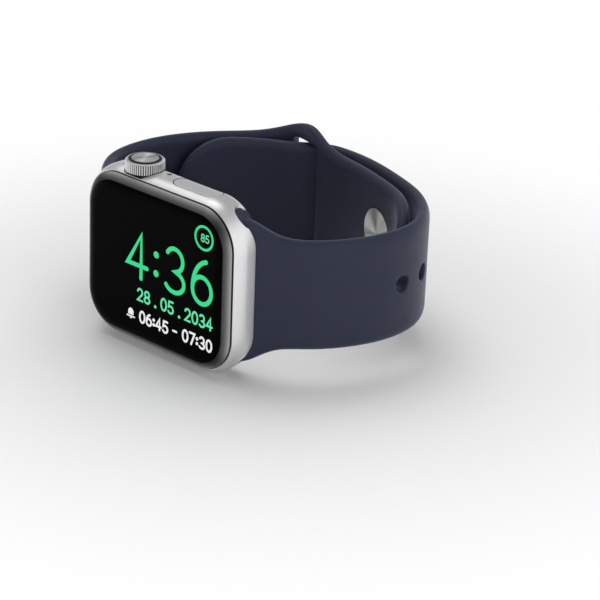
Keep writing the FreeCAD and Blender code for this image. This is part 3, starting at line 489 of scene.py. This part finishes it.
def slot_finishes():
    """One material for each of the record's slots."""
    return {
        "case_aluminium": satin_metal("case_aluminium", SILVER, 0.40),
        "cover_glass": cover_glass("cover_glass"),
        "back_glass": clear_crystal("back_glass", (0.30, 0.30, 0.33)),
        "back_cover": moulded_plastic("back_cover", (0.62, 0.62, 0.63), 0.28),
        "crown_aluminium": fluted_metal("crown_aluminium", shade(SILVER, 0.92), 0.3),
        "crown_black": moulded_plastic("crown_black", (0.004, 0.004, 0.005), 0.3, gloss=0.1),
        "strap_elastomer": elastomer("strap_elastomer", (0.0195, 0.0230, 0.048)),
        "stud_metal": satin_metal("stud_metal", SILVER, 0.24),
        "spring_steel": brushed_metal("spring_steel", STEEL, 0.25),
        "steel": brushed_metal("steel", shade(STEEL, 0.9), 0.35),
        "display": moulded_plastic("display", (0.004, 0.004, 0.005), 0.1),
        "plate": brushed_metal("plate", (0.42, 0.42, 0.43), 0.4),
        "seal_rubber": black_rubber("seal_rubber"),
        "circuit_board": moulded_plastic("circuit_board", (0.012, 0.05, 0.03), 0.3),
        "chip": moulded_plastic("chip", (0.02, 0.02, 0.022), 0.5),
        "led": moulded_plastic("led", (0.45, 0.75, 0.5), 0.12),
        "photodiode": moulded_plastic("photodiode", (0.02, 0.02, 0.04), 0.12),
        "copper": wound_copper("copper", (0.72, 0.36, 0.18)),
        "magnet": satin_metal("magnet", (0.62, 0.61, 0.6), 0.2),
        "ferrite": moulded_plastic("ferrite", (0.05, 0.05, 0.055), 0.6),
        "battery_pack": moulded_plastic("battery_pack", (0.04, 0.04, 0.045), 0.4),
        "tungsten": satin_metal("tungsten", (0.32, 0.32, 0.33), 0.45),
        "dark_plastic": moulded_plastic("dark_plastic", (0.02, 0.02, 0.021), 0.5),
        "mesh": woven_mesh("mesh", (0.3, 0.3, 0.31)),
        "gold_contact": satin_metal("gold_contact", (0.80, 0.58, 0.27), 0.28),
    }


def paint(obj, material):
    """Give an object that material alone."""
    obj.data.materials.clear()
    obj.data.materials.append(material)


def paint_cad_nodes(finishes):
    """Paint every solid with the finish of its slot."""
    for entry in frame["record"]["subparts"]:
        paint(frame["nodes"][entry["node"]], finishes[entry["material_slot"]])


def paint_turned_faces():
    """The crown's cap and the stud's disc are faced on a lathe."""
    low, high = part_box("crown_cap")
    crown_face = turned_metal("crown_face", CROWN_FACE_SILVER, (low + high) / 2, (0, 0, 1))
    paint(frame["nodes"]["crown_cap"], crown_face)
    point, normal = band_place(STUD_AT, short_depth)
    paint(frame["nodes"]["closure_stud"], turned_metal("stud_face", STUD_FACE_SILVER, point * MM, normal))


# ---------------------------------------------------------------- mesh helpers

def mesh_object(name, points, faces):
    """A mesh from points in millimetres."""
    mesh = bpy.data.meshes.new(name)
    mesh.from_pydata([Vector(p) * MM for p in points], [], faces)
    obj = bpy.data.objects.new(name, mesh)
    bpy.context.scene.collection.objects.link(obj)
    return obj


def clean(obj, merge=0.001 * MM):
    """Join points that lie on each other and turn all faces outward."""
    work = bmesh.new()
    work.from_mesh(obj.data)
    bmesh.ops.remove_doubles(work, verts=work.verts, dist=merge)
    bmesh.ops.dissolve_degenerate(work, edges=work.edges, dist=merge)
    bmesh.ops.recalc_face_normals(work, faces=work.faces)
    work.to_mesh(obj.data)
    work.free()
    return obj


def combine(obj, other, operation):
    """Boolean of two meshes, kept in the first; the second is deleted."""
    modifier = obj.modifiers.new(operation, "BOOLEAN")
    modifier.operation = operation
    modifier.solver = "EXACT"
    modifier.object = other
    graph = bpy.context.evaluated_depsgraph_get()
    mesh = bpy.data.meshes.new_from_object(obj.evaluated_get(graph))
    obj.modifiers.clear()
    obj.data = mesh
    bpy.data.objects.remove(other)
    return obj


def smooth(obj):
    """Smooth shading, with sharp edges kept."""
    work = bmesh.new()
    work.from_mesh(obj.data)
    limit = math.radians(SHARP_DEGREES)
    for face in work.faces:
        face.smooth = True
    for edge in work.edges:
        edge.smooth = len(edge.link_faces) == 2 and edge.calc_face_angle(0) < limit
    work.to_mesh(obj.data)
    work.free()


def rings_to_faces(count, size, closed_ends=True):
    """Faces between rings of points, with a cap on the first and the last."""
    faces = []
    for i in range(count - 1):
        for j in range(size):
            k = (j + 1) % size
            faces.append((i * size + j, i * size + k, (i + 1) * size + k, (i + 1) * size + j))
    if closed_ends:
        faces.append(tuple(range(size)))
        faces.append(tuple((count - 1) * size + j for j in reversed(range(size))))
    return faces


def block(name, x0, x1, y0, y1, z0, z1):
    """A plain cutter for straight grooves and wells."""
    points = [(x, y, z) for z in (z0, z1) for x, y in ((x0, y0), (x1, y0), (x1, y1), (x0, y1))]
    return clean(mesh_object(name, points, rings_to_faces(2, 4)))


def rounded_outline(half_a, half_b, radius, steps=CORNER_STEPS):
    """Points round a rectangle with round corners."""
    points = []
    corners = ((1, 1, 0), (-1, 1, 90), (-1, -1, 180), (1, -1, 270))
    for a, b, start in corners:
        for i in range(steps + 1):
            angle = math.radians(start + 90 * i / steps)
            points.append((a * (half_a - radius) + radius * math.cos(angle),
                           b * (half_b - radius) + radius * math.sin(angle)))
    return points


# ---------------------------------------------------------------- strap route

def end_slope(at, knots, points):
    """Slope at one end of the cubic through the four points there."""
    slope = np.zeros(2)
    for i in range(4):
        others = [k for k in range(4) if k != i]
        weight = 0.0
        for m in others:
            term = 1 / (knots[i] - knots[m])
            for k in others:
                if k != m:
                    term *= (at - knots[k]) / (knots[i] - knots[k])
            weight += term
        slope += weight * points[i]
    return slope


def smooth_line(points):
    """Points close together along the cubic spline through the given ones."""
    points = np.array(points, float)
    gaps = np.hypot(*np.diff(points, axis=0).T)
    knots = np.r_[0, np.cumsum(gaps)]
    count = len(points)
    system = np.zeros((count, count))
    known = np.zeros((count, 2))
    system[0, 0] = system[-1, -1] = 1
    known[0] = end_slope(knots[0], knots[:4], points[:4])
    known[-1] = end_slope(knots[-1], knots[-4:], points[-4:])
    for i in range(1, count - 1):
        before, after = gaps[i - 1], gaps[i]
        system[i, i - 1:i + 2] = 1 / before, 2 / before + 2 / after, 1 / after
        known[i] = (3 * (points[i] - points[i - 1]) / before ** 2
                    + 3 * (points[i + 1] - points[i]) / after ** 2)
    slopes = np.linalg.solve(system, known)
    at = np.linspace(0, knots[-1], ROUTE_SAMPLES)
    span = np.clip(np.searchsorted(knots, at) - 1, 0, count - 2)
    gap = gaps[span][:, None]
    t = (at - knots[span])[:, None] / gap
    return ((2 * t ** 3 - 3 * t ** 2 + 1) * points[span] + (t ** 3 - 2 * t ** 2 + t) * gap * slopes[span]
            + (3 * t ** 2 - 2 * t ** 3) * points[span + 1] + (t ** 3 - t ** 2) * gap * slopes[span + 1])


def strap_route():
    """From the long strap's lug round the wrist to the short strap's lug."""
    points = [(LUG_X, LUG_Y)]
    points += [(LUG_X + x, LUG_Y + y) for x, y in LONG_SIDE_ROUTE]
    points += [(-LUG_X - x, LUG_Y + y) for x, y in reversed(SHORT_SIDE_ROUTE)]
    points.append((-LUG_X, LUG_Y))
    return smooth_line(points)


ROUTE = strap_route()
ALONG = np.r_[0, np.cumsum(np.hypot(*np.diff(ROUTE, axis=0).T))]
LOOP_LENGTH = ALONG[-1]
HEADING = np.gradient(ROUTE, ALONG, axis=0)


def loop_place(distance):
    """Point on the outer layer's centre line, and the direction towards the wrist there."""
    x, y = (np.interp(distance, ALONG, ROUTE[:, i]) for i in (0, 1))
    u, v = (np.interp(distance, ALONG, HEADING[:, i]) for i in (0, 1))
    return Vector((x, y, 0)), Vector((-v, u, 0)).normalized()


def smooth_step(value):
    """0 below 0, 1 above 1, and smooth between them."""
    value = min(max(value, 0.0), 1.0)
    return value * value * (3 - 2 * value)


def passed(distance):
    """0 before the crossing of the two layers, 1 after it."""
    return smooth_step((distance - CROSSING_AT) / CROSSING_LENGTH + 0.5)


def long_depth(distance):
    """How far the holed strap lies inside the outer layer's line."""
    return (STRAP_THICKNESS + LAYER_GAP) * passed(distance)


def short_depth(distance):
    """The same for the strap with the slot and the stud."""
    return (STRAP_THICKNESS + LAYER_GAP) * (1 - passed(distance))


def band_place(distance, depth_of):
    """Centre of a layer, and its normal on the wrist side."""
    ends = []
    for shift in (-HEADING_STEP, HEADING_STEP):
        place = min(max(distance + shift, 0.0), LOOP_LENGTH)
        point, inward = loop_place(place)
        ends.append(point + inward * depth_of(place))
    along = (ends[1] - ends[0]).normalized()
    return (ends[0] + ends[1]) / 2, Vector((-along.y, along.x, 0))


def lug_width(from_lug):
    """Half of the strap's width, which flares towards the lug."""
    return STRAP_WIDTH / 2 + LUG_FLARE * math.exp(-(from_lug / FLARE_RUN) ** 2)


def lug_thickness(from_lug):
    """The strap's thickness, which thins towards the lug."""
    return STRAP_THICKNESS - THROAT_THINNING * math.exp(-(from_lug / THROAT_RUN) ** 2)


def short_half_width(distance):
    """Half of the slotted strap's width, with the rails that widen it beside the slot."""
    from_slot = distance - CROSSING_AT
    run = RAIL_RUN_SHORT_SIDE if from_slot > 0 else RAIL_RUN_LONG_SIDE
    rails = RAIL_HEIGHT * math.exp(-(from_slot / run) ** 2)
    return lug_width(LOOP_LENGTH - distance) + rails


# ---------------------------------------------------------------- strap meshes

def section_layout():
    """The points round a section: shares of the edge's round inwards and upwards, the face, the side."""
    layout = []
    for face in (1, -1):
        angles = [90 * i / EDGE_STEPS for i in range(EDGE_STEPS + 1)]
        edge = [(1 - math.cos(math.radians(a)), math.sin(math.radians(a))) for a in angles]
        first = [(inset, lift, face, 1.0) for inset, lift in edge]
        last = [(inset, lift, face, -1.0) for inset, lift in reversed(edge)]
        middle = [(1.0, 1.0, face, face * (1 - 2 * i / ACROSS_STEPS)) for i in range(1, ACROSS_STEPS)]
        if face < 0:
            first, last = [(i, l, f, -s) for i, l, f, s in first], [(i, l, f, -s) for i, l, f, s in last]
        layout += first + middle + last
    return layout


def soft_edge(place, lug):
    """The strap's edges are rounder away from the lug, where they meet the case."""
    softened = smooth_step(abs(place - lug) / EDGE_SOFTENING_RUN - EDGE_SOFTENING_DELAY)
    return EDGE_SHARE_AT_LUG + (1 - EDGE_SHARE_AT_LUG) * softened


def strap_shell(name, start, tip, rounding, depth_of, half_width_of, thickness_of):
    """A strap from its lug to its tip, whose outline ends in a half ellipse and whose edges are round."""
    heading = 1 if tip > start else -1
    square_end = tip - heading * rounding
    count = round(abs(square_end - start) / STATION_STEP)
    stations = [(start + (square_end - start) * i / count, 0.0) for i in range(count + 1)]
    stations += [(square_end, math.pi / 2 * i / TIP_STEPS) for i in range(1, TIP_STEPS + 1)]
    layout = section_layout()
    points = []
    for station, turn in stations:
        half_width = half_width_of(station)
        for inset, lift, face, side in layout:
            place = station
            thickness = thickness_of(place)
            round_size = min(STRAP_EDGE, EDGE_SHARE_OF_THICKNESS * thickness)
            edge_reach = STRAP_EDGE_REACH * soft_edge(place, start)
            reach = rounding - edge_reach * inset
            place += heading * reach * math.sin(turn)
            centre, normal = band_place(place, depth_of)
            height = face * (thickness / 2 - round_size * (1 - lift))
            across = side * (half_width - edge_reach * inset) * math.cos(turn)
            points.append(centre + normal * height + AXIS_Z * across)
    size = len(layout)
    faces = rings_to_faces(len(stations), size, closed_ends=False)
    faces.append(tuple(range(size)))
    return clean(mesh_object(name, points, faces))


def punch(outline_of, depth_of, levels):
    """A cutter through a layer: outline_of(spread) gives (along, across), at each (height, spread) level."""
    points = []
    for height, spread in levels:
        for along, across in outline_of(spread):
            centre, normal = band_place(along, depth_of)
            points.append(centre + normal * height + AXIS_Z * across)
    size = len(points) // len(levels)
    return clean(mesh_object("cutter", points, rings_to_faces(len(levels), size)))


def rounded_mouths(half_thickness, round_size):
    """Levels of a cutter that leaves both mouths of its hole rounded."""
    upper = []
    for i in range(MOUTH_STEPS + 1):
        angle = math.radians(90 * i / MOUTH_STEPS)
        height = half_thickness - round_size * (1 - math.sin(angle))
        upper.append((height, round_size * (1 - math.cos(angle))))
    for reach in (round_size, CUTTER_REACH):
        upper.append((half_thickness + reach, 2 * round_size))
    return [(-height, spread) for height, spread in reversed(upper)] + upper


def circle_outline(at, radius, steps=40):
    """The outline of a round cutter, for punch."""
    def outline(spread):
        turns = [2 * math.pi * i / steps for i in range(steps)]
        return [(at + (radius + spread) * math.cos(t), (radius + spread) * math.sin(t)) for t in turns]
    return outline


def divided(outline, longest):
    """A closed outline with points added on its long sides."""
    points = []
    for (a, b), (c, d) in zip(outline, outline[1:] + outline[:1]):
        count = max(1, math.ceil(math.dist((a, b), (c, d)) / longest))
        points += [(a + (c - a) * i / count, b + (d - b) * i / count) for i in range(count)]
    return points


def slot_outline(at, half_length, half_height, corner):
    """The outline of a slot's cutter, for punch."""
    def outline(spread):
        edge = rounded_outline(half_length + spread, half_height + spread, corner + spread)
        return [(at + a, b) for a, b in divided(edge, STATION_STEP)]
    return outline


def lug_bar(side):
    """The round bar at a strap's end, which follows the case's outline."""
    turns = [2 * math.pi * i / BAR_STEPS for i in range(BAR_STEPS)]
    points = [(side * LUG_X + LUG_RADIUS * math.cos(t), LUG_Y + LUG_RADIUS * math.sin(t), z)
              for z in (-LUG_HALF_LENGTH, LUG_HALF_LENGTH) for t in turns]
    bar = clean(mesh_object("lug_bar", points, rings_to_faces(2, BAR_STEPS)))
    outline = rounded_outline(CASE_HALF_LENGTH, CASE_HALF_WIDTH, CASE_CORNER, BAR_STEPS // 2)
    points = [(x, y, z) for y in (LUG_Y - CASE_CUTTER_REACH, LUG_Y + CASE_CUTTER_REACH) for x, z in outline]
    case = clean(mesh_object("case_outline", points, rings_to_faces(2, len(outline))))
    return combine(bar, case, "INTERSECT")


def cut_lug(strap, side, detent, spring):
    """The groove along the bar that clears the release button, and the detent's well."""
    low, high = (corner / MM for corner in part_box(detent))
    well_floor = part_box(spring)[0].y / MM
    groove_floor = LUG_Y + GROOVE_FLOOR
    xs = sorted((side * (LUG_X - 2 * LUG_RADIUS), side * (LUG_X - GROOVE_SIDE)))
    half_length = LUG_HALF_LENGTH + 1
    groove = block("groove", *xs, groove_floor, LUG_Y + 2 * LUG_RADIUS, -half_length, half_length)
    combine(strap, groove, "DIFFERENCE")
    well = block("well", low.x - WELL_CLEARANCE, high.x + WELL_CLEARANCE, well_floor, groove_floor + 1,
                 low.z - WELL_CLEARANCE, high.z + WELL_CLEARANCE)
    combine(strap, well, "DIFFERENCE")


def drop_crumbs(obj):
    """Keep the largest connected part of a mesh, since booleans can leave crumbs beside it."""
    work = bmesh.new()
    work.from_mesh(obj.data)
    unseen = set(work.faces)
    parts = []
    while unseen:
        part = {unseen.pop()}
        border = list(part)
        while border:
            shared = [edge.link_faces for edge in border.pop().edges if len(edge.link_faces) == 2]
            near = {face for pair in shared for face in pair} - part
            part |= near
            border += near
        unseen -= part
        parts.append(part)
    parts.sort(key=len)
    bmesh.ops.delete(work, geom=[face for part in parts[:-1] for face in part], context="FACES")
    work.to_mesh(obj.data)
    work.free()
    return obj


def finish_strap(strap, body, node, material):
    """Mend what the booleans left, then put the strap in place of its plain solid."""
    paint(drop_crumbs(clean(strap, CRUMB_SIZE * MM)), material)
    smooth(strap)
    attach(strap, body)
    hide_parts(node)


def long_strap(material):
    """Holed strap: outer layer from the 6 o'clock end, then through the slot and in as a tail."""
    tip = CROSSING_AT + TAIL_LENGTH
    strap = strap_shell("long_strap", 0.0, tip, TAIL_ROUNDING, long_depth, lug_width, lug_thickness)
    combine(strap, lug_bar(1), "UNION")
    levels = rounded_mouths(STRAP_THICKNESS / 2, HOLE_ROUND)
    for i in range(-HOLES_BEFORE_STUD, HOLES_AFTER_STUD + 1):
        outline = circle_outline(STUD_AT + i * HOLE_PITCH, HOLE_RADIUS)
        combine(strap, punch(outline, long_depth, levels), "DIFFERENCE")
    cut_lug(strap, 1, "detent_long", "detent_spring_long")
    finish_strap(strap, "strap_long_body", "strap_long", material)


def short_strap(material):
    """Strap from the 12 o'clock end: outer layer, widened slot, then inner layer with the stud."""
    tip = STUD_AT - STUD_END_LENGTH
    strap = strap_shell("short_strap", LOOP_LENGTH, tip, STUD_END_ROUNDING, short_depth, short_half_width,
                        lambda distance: lug_thickness(LOOP_LENGTH - distance))
    combine(strap, lug_bar(-1), "UNION")
    half = STRAP_THICKNESS / 2
    slot = slot_outline(CROSSING_AT, SLOT_LENGTH / 2, STRAP_WIDTH / 2 + SLOT_CLEARANCE, SLOT_CORNER)
    combine(strap, punch(slot, short_depth, rounded_mouths(half, SLOT_ROUND)), "DIFFERENCE")
    recess = circle_outline(STUD_AT, STUD_RECESS_RADIUS, steps=64)
    levels = [(half - STUD_RECESS, 0.0), (half - STUD_RECESS_ROUND, 0.0), (half, STUD_RECESS_ROUND),
              (half + RECESS_CUTTER_REACH, STUD_RECESS_ROUND + RECESS_CUTTER_REACH)]
    combine(strap, punch(recess, short_depth, levels), "DIFFERENCE")
    bore = circle_outline(STUD_AT, STUD_PIN_RADIUS)
    combine(strap, punch(bore, short_depth, rounded_mouths(half, STUD_BORE_ROUND)), "DIFFERENCE")
    cut_lug(strap, -1, "detent_short", "detent_spring_short")
    finish_strap(strap, "strap_short_body", "strap_short", material)


# ---------------------------------------------------------------- figures on the display

def arc(cx, cy, rx, ry, start, end, steps=20):
    """Points along part of an ellipse, with angles in degrees."""
    points = []
    for i in range(steps + 1):
        angle = math.radians(start + (end - start) * i / steps)
        points.append((cx + rx * math.cos(angle), cy + ry * math.sin(angle)))
    return points


# Strokes of each figure in its cell; closed rings end where they start
FIGURES = {
    "0": [arc(0.31, 0.5, 0.27, 0.46, 90, 450, 36)],
    "1": [[(0.10, 0.76), (0.36, 0.96), (0.36, 0.04)]],
    "2": [arc(0.30, 0.69, 0.25, 0.27, 165, -32) + [(0.05, 0.04), (0.57, 0.04)]],
    "3": [arc(0.29, 0.72, 0.23, 0.24, 150, -90, 16) + arc(0.29, 0.26, 0.27, 0.22, 90, -150, 18)],
    "4": [[(0.42, 0.04), (0.42, 0.96), (0.03, 0.30), (0.59, 0.30)]],
    "5": [[(0.53, 0.96), (0.14, 0.96), (0.09, 0.53)] + arc(0.29, 0.32, 0.27, 0.28, 128, -150)],
    "6": [arc(0.31, 0.32, 0.26, 0.28, 90, 450, 30), arc(0.52, 0.33, 0.47, 0.63, 180, 103, 14)],
    "7": [[(0.04, 0.96), (0.58, 0.96), (0.22, 0.04)]],
    "8": [arc(0.31, 0.735, 0.22, 0.23, 90, 450, 28), arc(0.31, 0.27, 0.27, 0.23, 90, 450, 30)],
    "9": [arc(0.31, 0.68, 0.26, 0.28, 90, 450, 30), arc(0.10, 0.67, 0.47, 0.63, 0, -77, 14)],
    "-": [[(0.08, 0.5), (0.44, 0.5)]],
}


def ribbon(points, half):
    """Polygons of a stroke: a quad for each piece of line, and a half disc at each open end."""
    points = [point for i, point in enumerate(points)
              if i == 0 or math.dist(point, points[i - 1]) > SAME_POINT]
    closed = math.dist(points[0], points[-1]) < SAME_POINT
    lines = np.array(points[:-1] if closed else points, float)
    count = len(lines)
    before = np.roll(lines, 1, axis=0)
    after = np.roll(lines, -1, axis=0)
    if not closed:
        before[0] = 2 * lines[0] - lines[1]
        after[-1] = 2 * lines[-1] - lines[-2]
    first = lines - before
    second = after - lines
    first /= np.linalg.norm(first, axis=1)[:, None]
    second /= np.linalg.norm(second, axis=1)[:, None]
    bisector = first + second
    bisector /= np.linalg.norm(bisector, axis=1)[:, None]
    normal = np.stack([-bisector[:, 1], bisector[:, 0]], axis=1)
    stretch = half / np.clip((bisector * first).sum(axis=1), 0.5, 1)[:, None]
    left, right = lines + normal * stretch, lines - normal * stretch
    polygons = []
    for i in range(count if closed else count - 1):
        j = (i + 1) % count
        polygons.append([right[i], right[j], left[j], left[i]])
    if not closed:
        for at, outward in ((lines[0], -second[0]), (lines[-1], first[-1])):
            heading = math.degrees(math.atan2(outward[1], outward[0]))
            polygons.append(arc(*at, half, half, heading - 90, heading + 90, CAP_STEPS))
    return polygons


def dot(x, y, radius):
    """A disc's outline."""
    return arc(x, y, radius, radius, 0, 360)[:-1]


def cell_width(character):
    """Width of a character's cell, for a height of 1."""
    if character == " ":
        return SPACE_WIDTH
    return DOT_WIDTH if character in DOTS else FIGURE_WIDTH


def text_polygons(text, right, base, height, stroke):
    """Polygons of a line of figures that ends at right, in millimetres on the glass."""
    width = sum(cell_width(character) for character in text) + FIGURE_GAP * (len(text) - 1)
    x = right - width * height
    polygons = []
    for character in text:
        cell = cell_width(character) * height
        for level in DOTS.get(character, ()):
            polygons.append(dot(x + cell / 2, base + level * height, DOT_SIZE * stroke))
        for points in FIGURES.get(character, ()):
            line = [(x + u * height, base + v * height) for u, v in points]
            polygons += ribbon(line, stroke / 2)
        x += cell + FIGURE_GAP * height
    return polygons


def lit_piece(name, polygons, material):
    """Thin lit shapes that lie on the glass over the display."""
    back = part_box("front_crystal")[0].y / MM - LIT_LIFT
    points, faces = [], []
    for polygon in polygons:
        faces.append(tuple(range(len(points), len(points) + len(polygon))))
        points += [(x, back, z) for x, z in polygon]
    obj = mesh_object(name, points, faces)
    work = bmesh.new()
    work.from_mesh(obj.data)
    bmesh.ops.remove_doubles(work, verts=work.verts, dist=0.001 * MM)
    grown = bmesh.ops.extrude_face_region(work, geom=work.faces[:], use_keep_orig=True)["geom"]
    front = [item for item in grown if isinstance(item, bmesh.types.BMVert)]
    bmesh.ops.translate(work, verts=front, vec=(0, -LIT_THICKNESS * MM, 0))
    bmesh.ops.recalc_face_normals(work, faces=work.faces)
    work.to_mesh(obj.data)
    work.free()
    paint(obj, material)
    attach(obj, "case")


def bell_polygons(left, base, height, stroke):
    """A small bell, drawn in a cell 1 wide and 1 high."""
    def placed(points):
        return [(left + u * height, base + v * height) for u, v in points]
    dome = [(0.80, 0.34)] + arc(0.5, 0.56, 0.3, 0.34, 0, 180, 14) + [(0.20, 0.34)]
    rim = [(0.08, 0.2), (0.92, 0.2)]
    clapper = arc(0.5, 0.11, 0.13, 0.1, 180, 360, 10)
    return [placed(dome)[::-1]] + ribbon(placed(rim), stroke / 2) + [placed(clapper)]


def display_figures():
    """Time, date, alarm and charge, as plain figures."""
    green = light_figure("lit_green", (0.045, 0.72, 0.27))
    pale_green = light_figure("lit_pale_green", (0.13, 0.80, 0.40))
    white = light_figure("lit_white", (0.86, 0.86, 0.88))
    ring = arc(*RING_CENTRE, RING_RADIUS, RING_RADIUS, 90, 450, 48)
    lit_piece("time_figures", text_polygons(*TIME), green)
    lit_piece("date_figures", text_polygons(*DATE), pale_green)
    lit_piece("alarm_figures", text_polygons(*ALARM) + bell_polygons(*BELL), white)
    lit_piece("charge_ring", ribbon(ring, RING_STROKE), green)
    lit_piece("charge_figures", text_polygons(*CHARGE), pale_green)


# ---------------------------------------------------------------- floor, light and camera

def seen_directly(tree):
    """1 for what the camera sees, also in a mirror or through glass, and 0 for rays that only light."""
    path = tree.nodes.new("ShaderNodeLightPath")
    seen = path.outputs["Is Camera Ray"]
    for ray in ("Is Glossy Ray", "Is Transmission Ray"):
        either = tree.nodes.new("ShaderNodeMath")
        either.operation = "MAXIMUM"
        tree.links.new(seen, either.inputs[0])
        tree.links.new(path.outputs[ray], either.inputs[1])
        seen = either.outputs[0]
    return seen


def floor():
    """Pale ground that fades to plain white away from the watch."""
    level = cad_bounds[0][2] / MM
    corners = ((-1, -1), (1, -1), (1, 1), (-1, 1))
    points = [(GROUND_HALF_SIZE * a / MM, GROUND_HALF_SIZE * b / MM, level) for a, b in corners]
    ground = mesh_object("ground", points, [(0, 1, 2, 3)])
    finish = Finish("ground")
    finish.feed("Base Color", finish.blend(finish.noise(50 * MM), (0.88, 0.88, 0.88), (0.90, 0.90, 0.90)))
    finish.set(Roughness=0.6, Specular_IOR_Level=0.2)
    white = finish.add("ShaderNodeEmission")
    white.inputs["Color"].default_value = (1, 1, 1, 1)
    distance = finish.from_axis(FADE_CENTRE, (0, 0, 1))[0]
    far = finish.range(distance, 0.0, 1.0, *FADE_RANGE, smooth=True)
    mix = finish.add("ShaderNodeMixShader")
    finish.link(finish.compute("MULTIPLY", far, seen_directly(finish.tree)), mix.inputs[0])
    finish.link(finish.shader.outputs[0], mix.inputs[1])
    finish.link(white.outputs[0], mix.inputs[2])
    finish.link(mix.outputs[0], finish.tree.nodes["Material Output"].inputs["Surface"])
    paint(ground, finish.material)


def softbox(name, place, target, width, height, power, reflected):
    """A rectangular lamp; reflected says whether metal and glass mirror it."""
    light = bpy.data.lights.new(name, "AREA")
    light.shape = "RECTANGLE"
    light.size = width
    light.size_y = height
    light.energy = power
    obj = bpy.data.objects.new(name, light)
    obj.location = place
    obj.rotation_euler = (Vector(target) - Vector(place)).to_track_quat("-Z", "Y").to_euler()
    obj.visible_glossy = reflected
    bpy.context.scene.collection.objects.link(obj)


def studio():
    """A world that lights the object evenly and looks white, dimmer overhead, and three lamps."""
    world = bpy.data.worlds.new("studio")
    world.use_nodes = True
    tree = world.node_tree
    background = tree.nodes["Background"]
    background.inputs["Color"].default_value = (1, 1, 1, 1)
    place = tree.nodes.new("ShaderNodeTexCoord")
    parts = tree.nodes.new("ShaderNodeSeparateXYZ")
    tree.links.new(place.outputs["Generated"], parts.inputs[0])
    height = tree.nodes.new("ShaderNodeMath")
    height.operation = "MULTIPLY_ADD"
    height.inputs[1].default_value = CEILING_SLOPE
    tree.links.new(parts.outputs["X"], height.inputs[0])
    tree.links.new(parts.outputs["Z"], height.inputs[2])
    sky = tree.nodes.new("ShaderNodeMapRange")
    sky.interpolation_type = "SMOOTHSTEP"
    for key, value in zip(("From Min", "From Max", "To Min", "To Max"), (*CEILING_RANGE, 1.0, CEILING)):
        sky.inputs[key].default_value = value
    tree.links.new(height.outputs[0], sky.inputs["Value"])
    level = tree.nodes.new("ShaderNodeMix")
    level.inputs[2].default_value = AMBIENT
    tree.links.new(seen_directly(tree), level.inputs[0])
    tree.links.new(sky.outputs["Result"], level.inputs[3])
    tree.links.new(level.outputs[0], background.inputs["Strength"])
    bpy.context.scene.world = world
    for lamp in LAMPS:
        softbox(*lamp)


def camera():
    """Seen from the front and above, from the 6 o'clock side, leaning a little."""
    azimuth, elevation, roll = (math.radians(angle) for angle in CAMERA_ANGLES)
    back = Vector((math.sin(azimuth) * math.cos(elevation), -math.cos(azimuth) * math.cos(elevation),
                   math.sin(elevation)))
    level = Vector((math.cos(azimuth), math.sin(azimuth), 0))
    upright = back.cross(level)
    right = level * math.cos(roll) + upright * math.sin(roll)
    up = upright * math.cos(roll) - level * math.sin(roll)
    seam = Vector((0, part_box("housing")[0].y + SEAM_DEPTH, 0))
    data = bpy.data.cameras.new("camera")
    data.lens = LENS
    data.sensor_width = SENSOR_WIDTH
    data.clip_start = CLIP_START
    obj = bpy.data.objects.new("camera", data)
    obj.matrix_world = Matrix((
        (right.x, up.x, back.x, 0), (right.y, up.y, back.y, 0), (right.z, up.z, back.z, 0), (0, 0, 0, 1)))
    across, upward, away = CAMERA_OFFSET
    obj.location = seam + right * across + up * upward + back * away
    bpy.context.scene.collection.objects.link(obj)
    bpy.context.scene.camera = obj


bpy.context.scene.view_settings.view_transform = "Standard"
finishes = slot_finishes()
paint_cad_nodes(finishes)
paint_turned_faces()
long_strap(finishes["strap_elastomer"])
short_strap(finishes["strap_elastomer"])
display_figures()
floor()
studio()
camera()
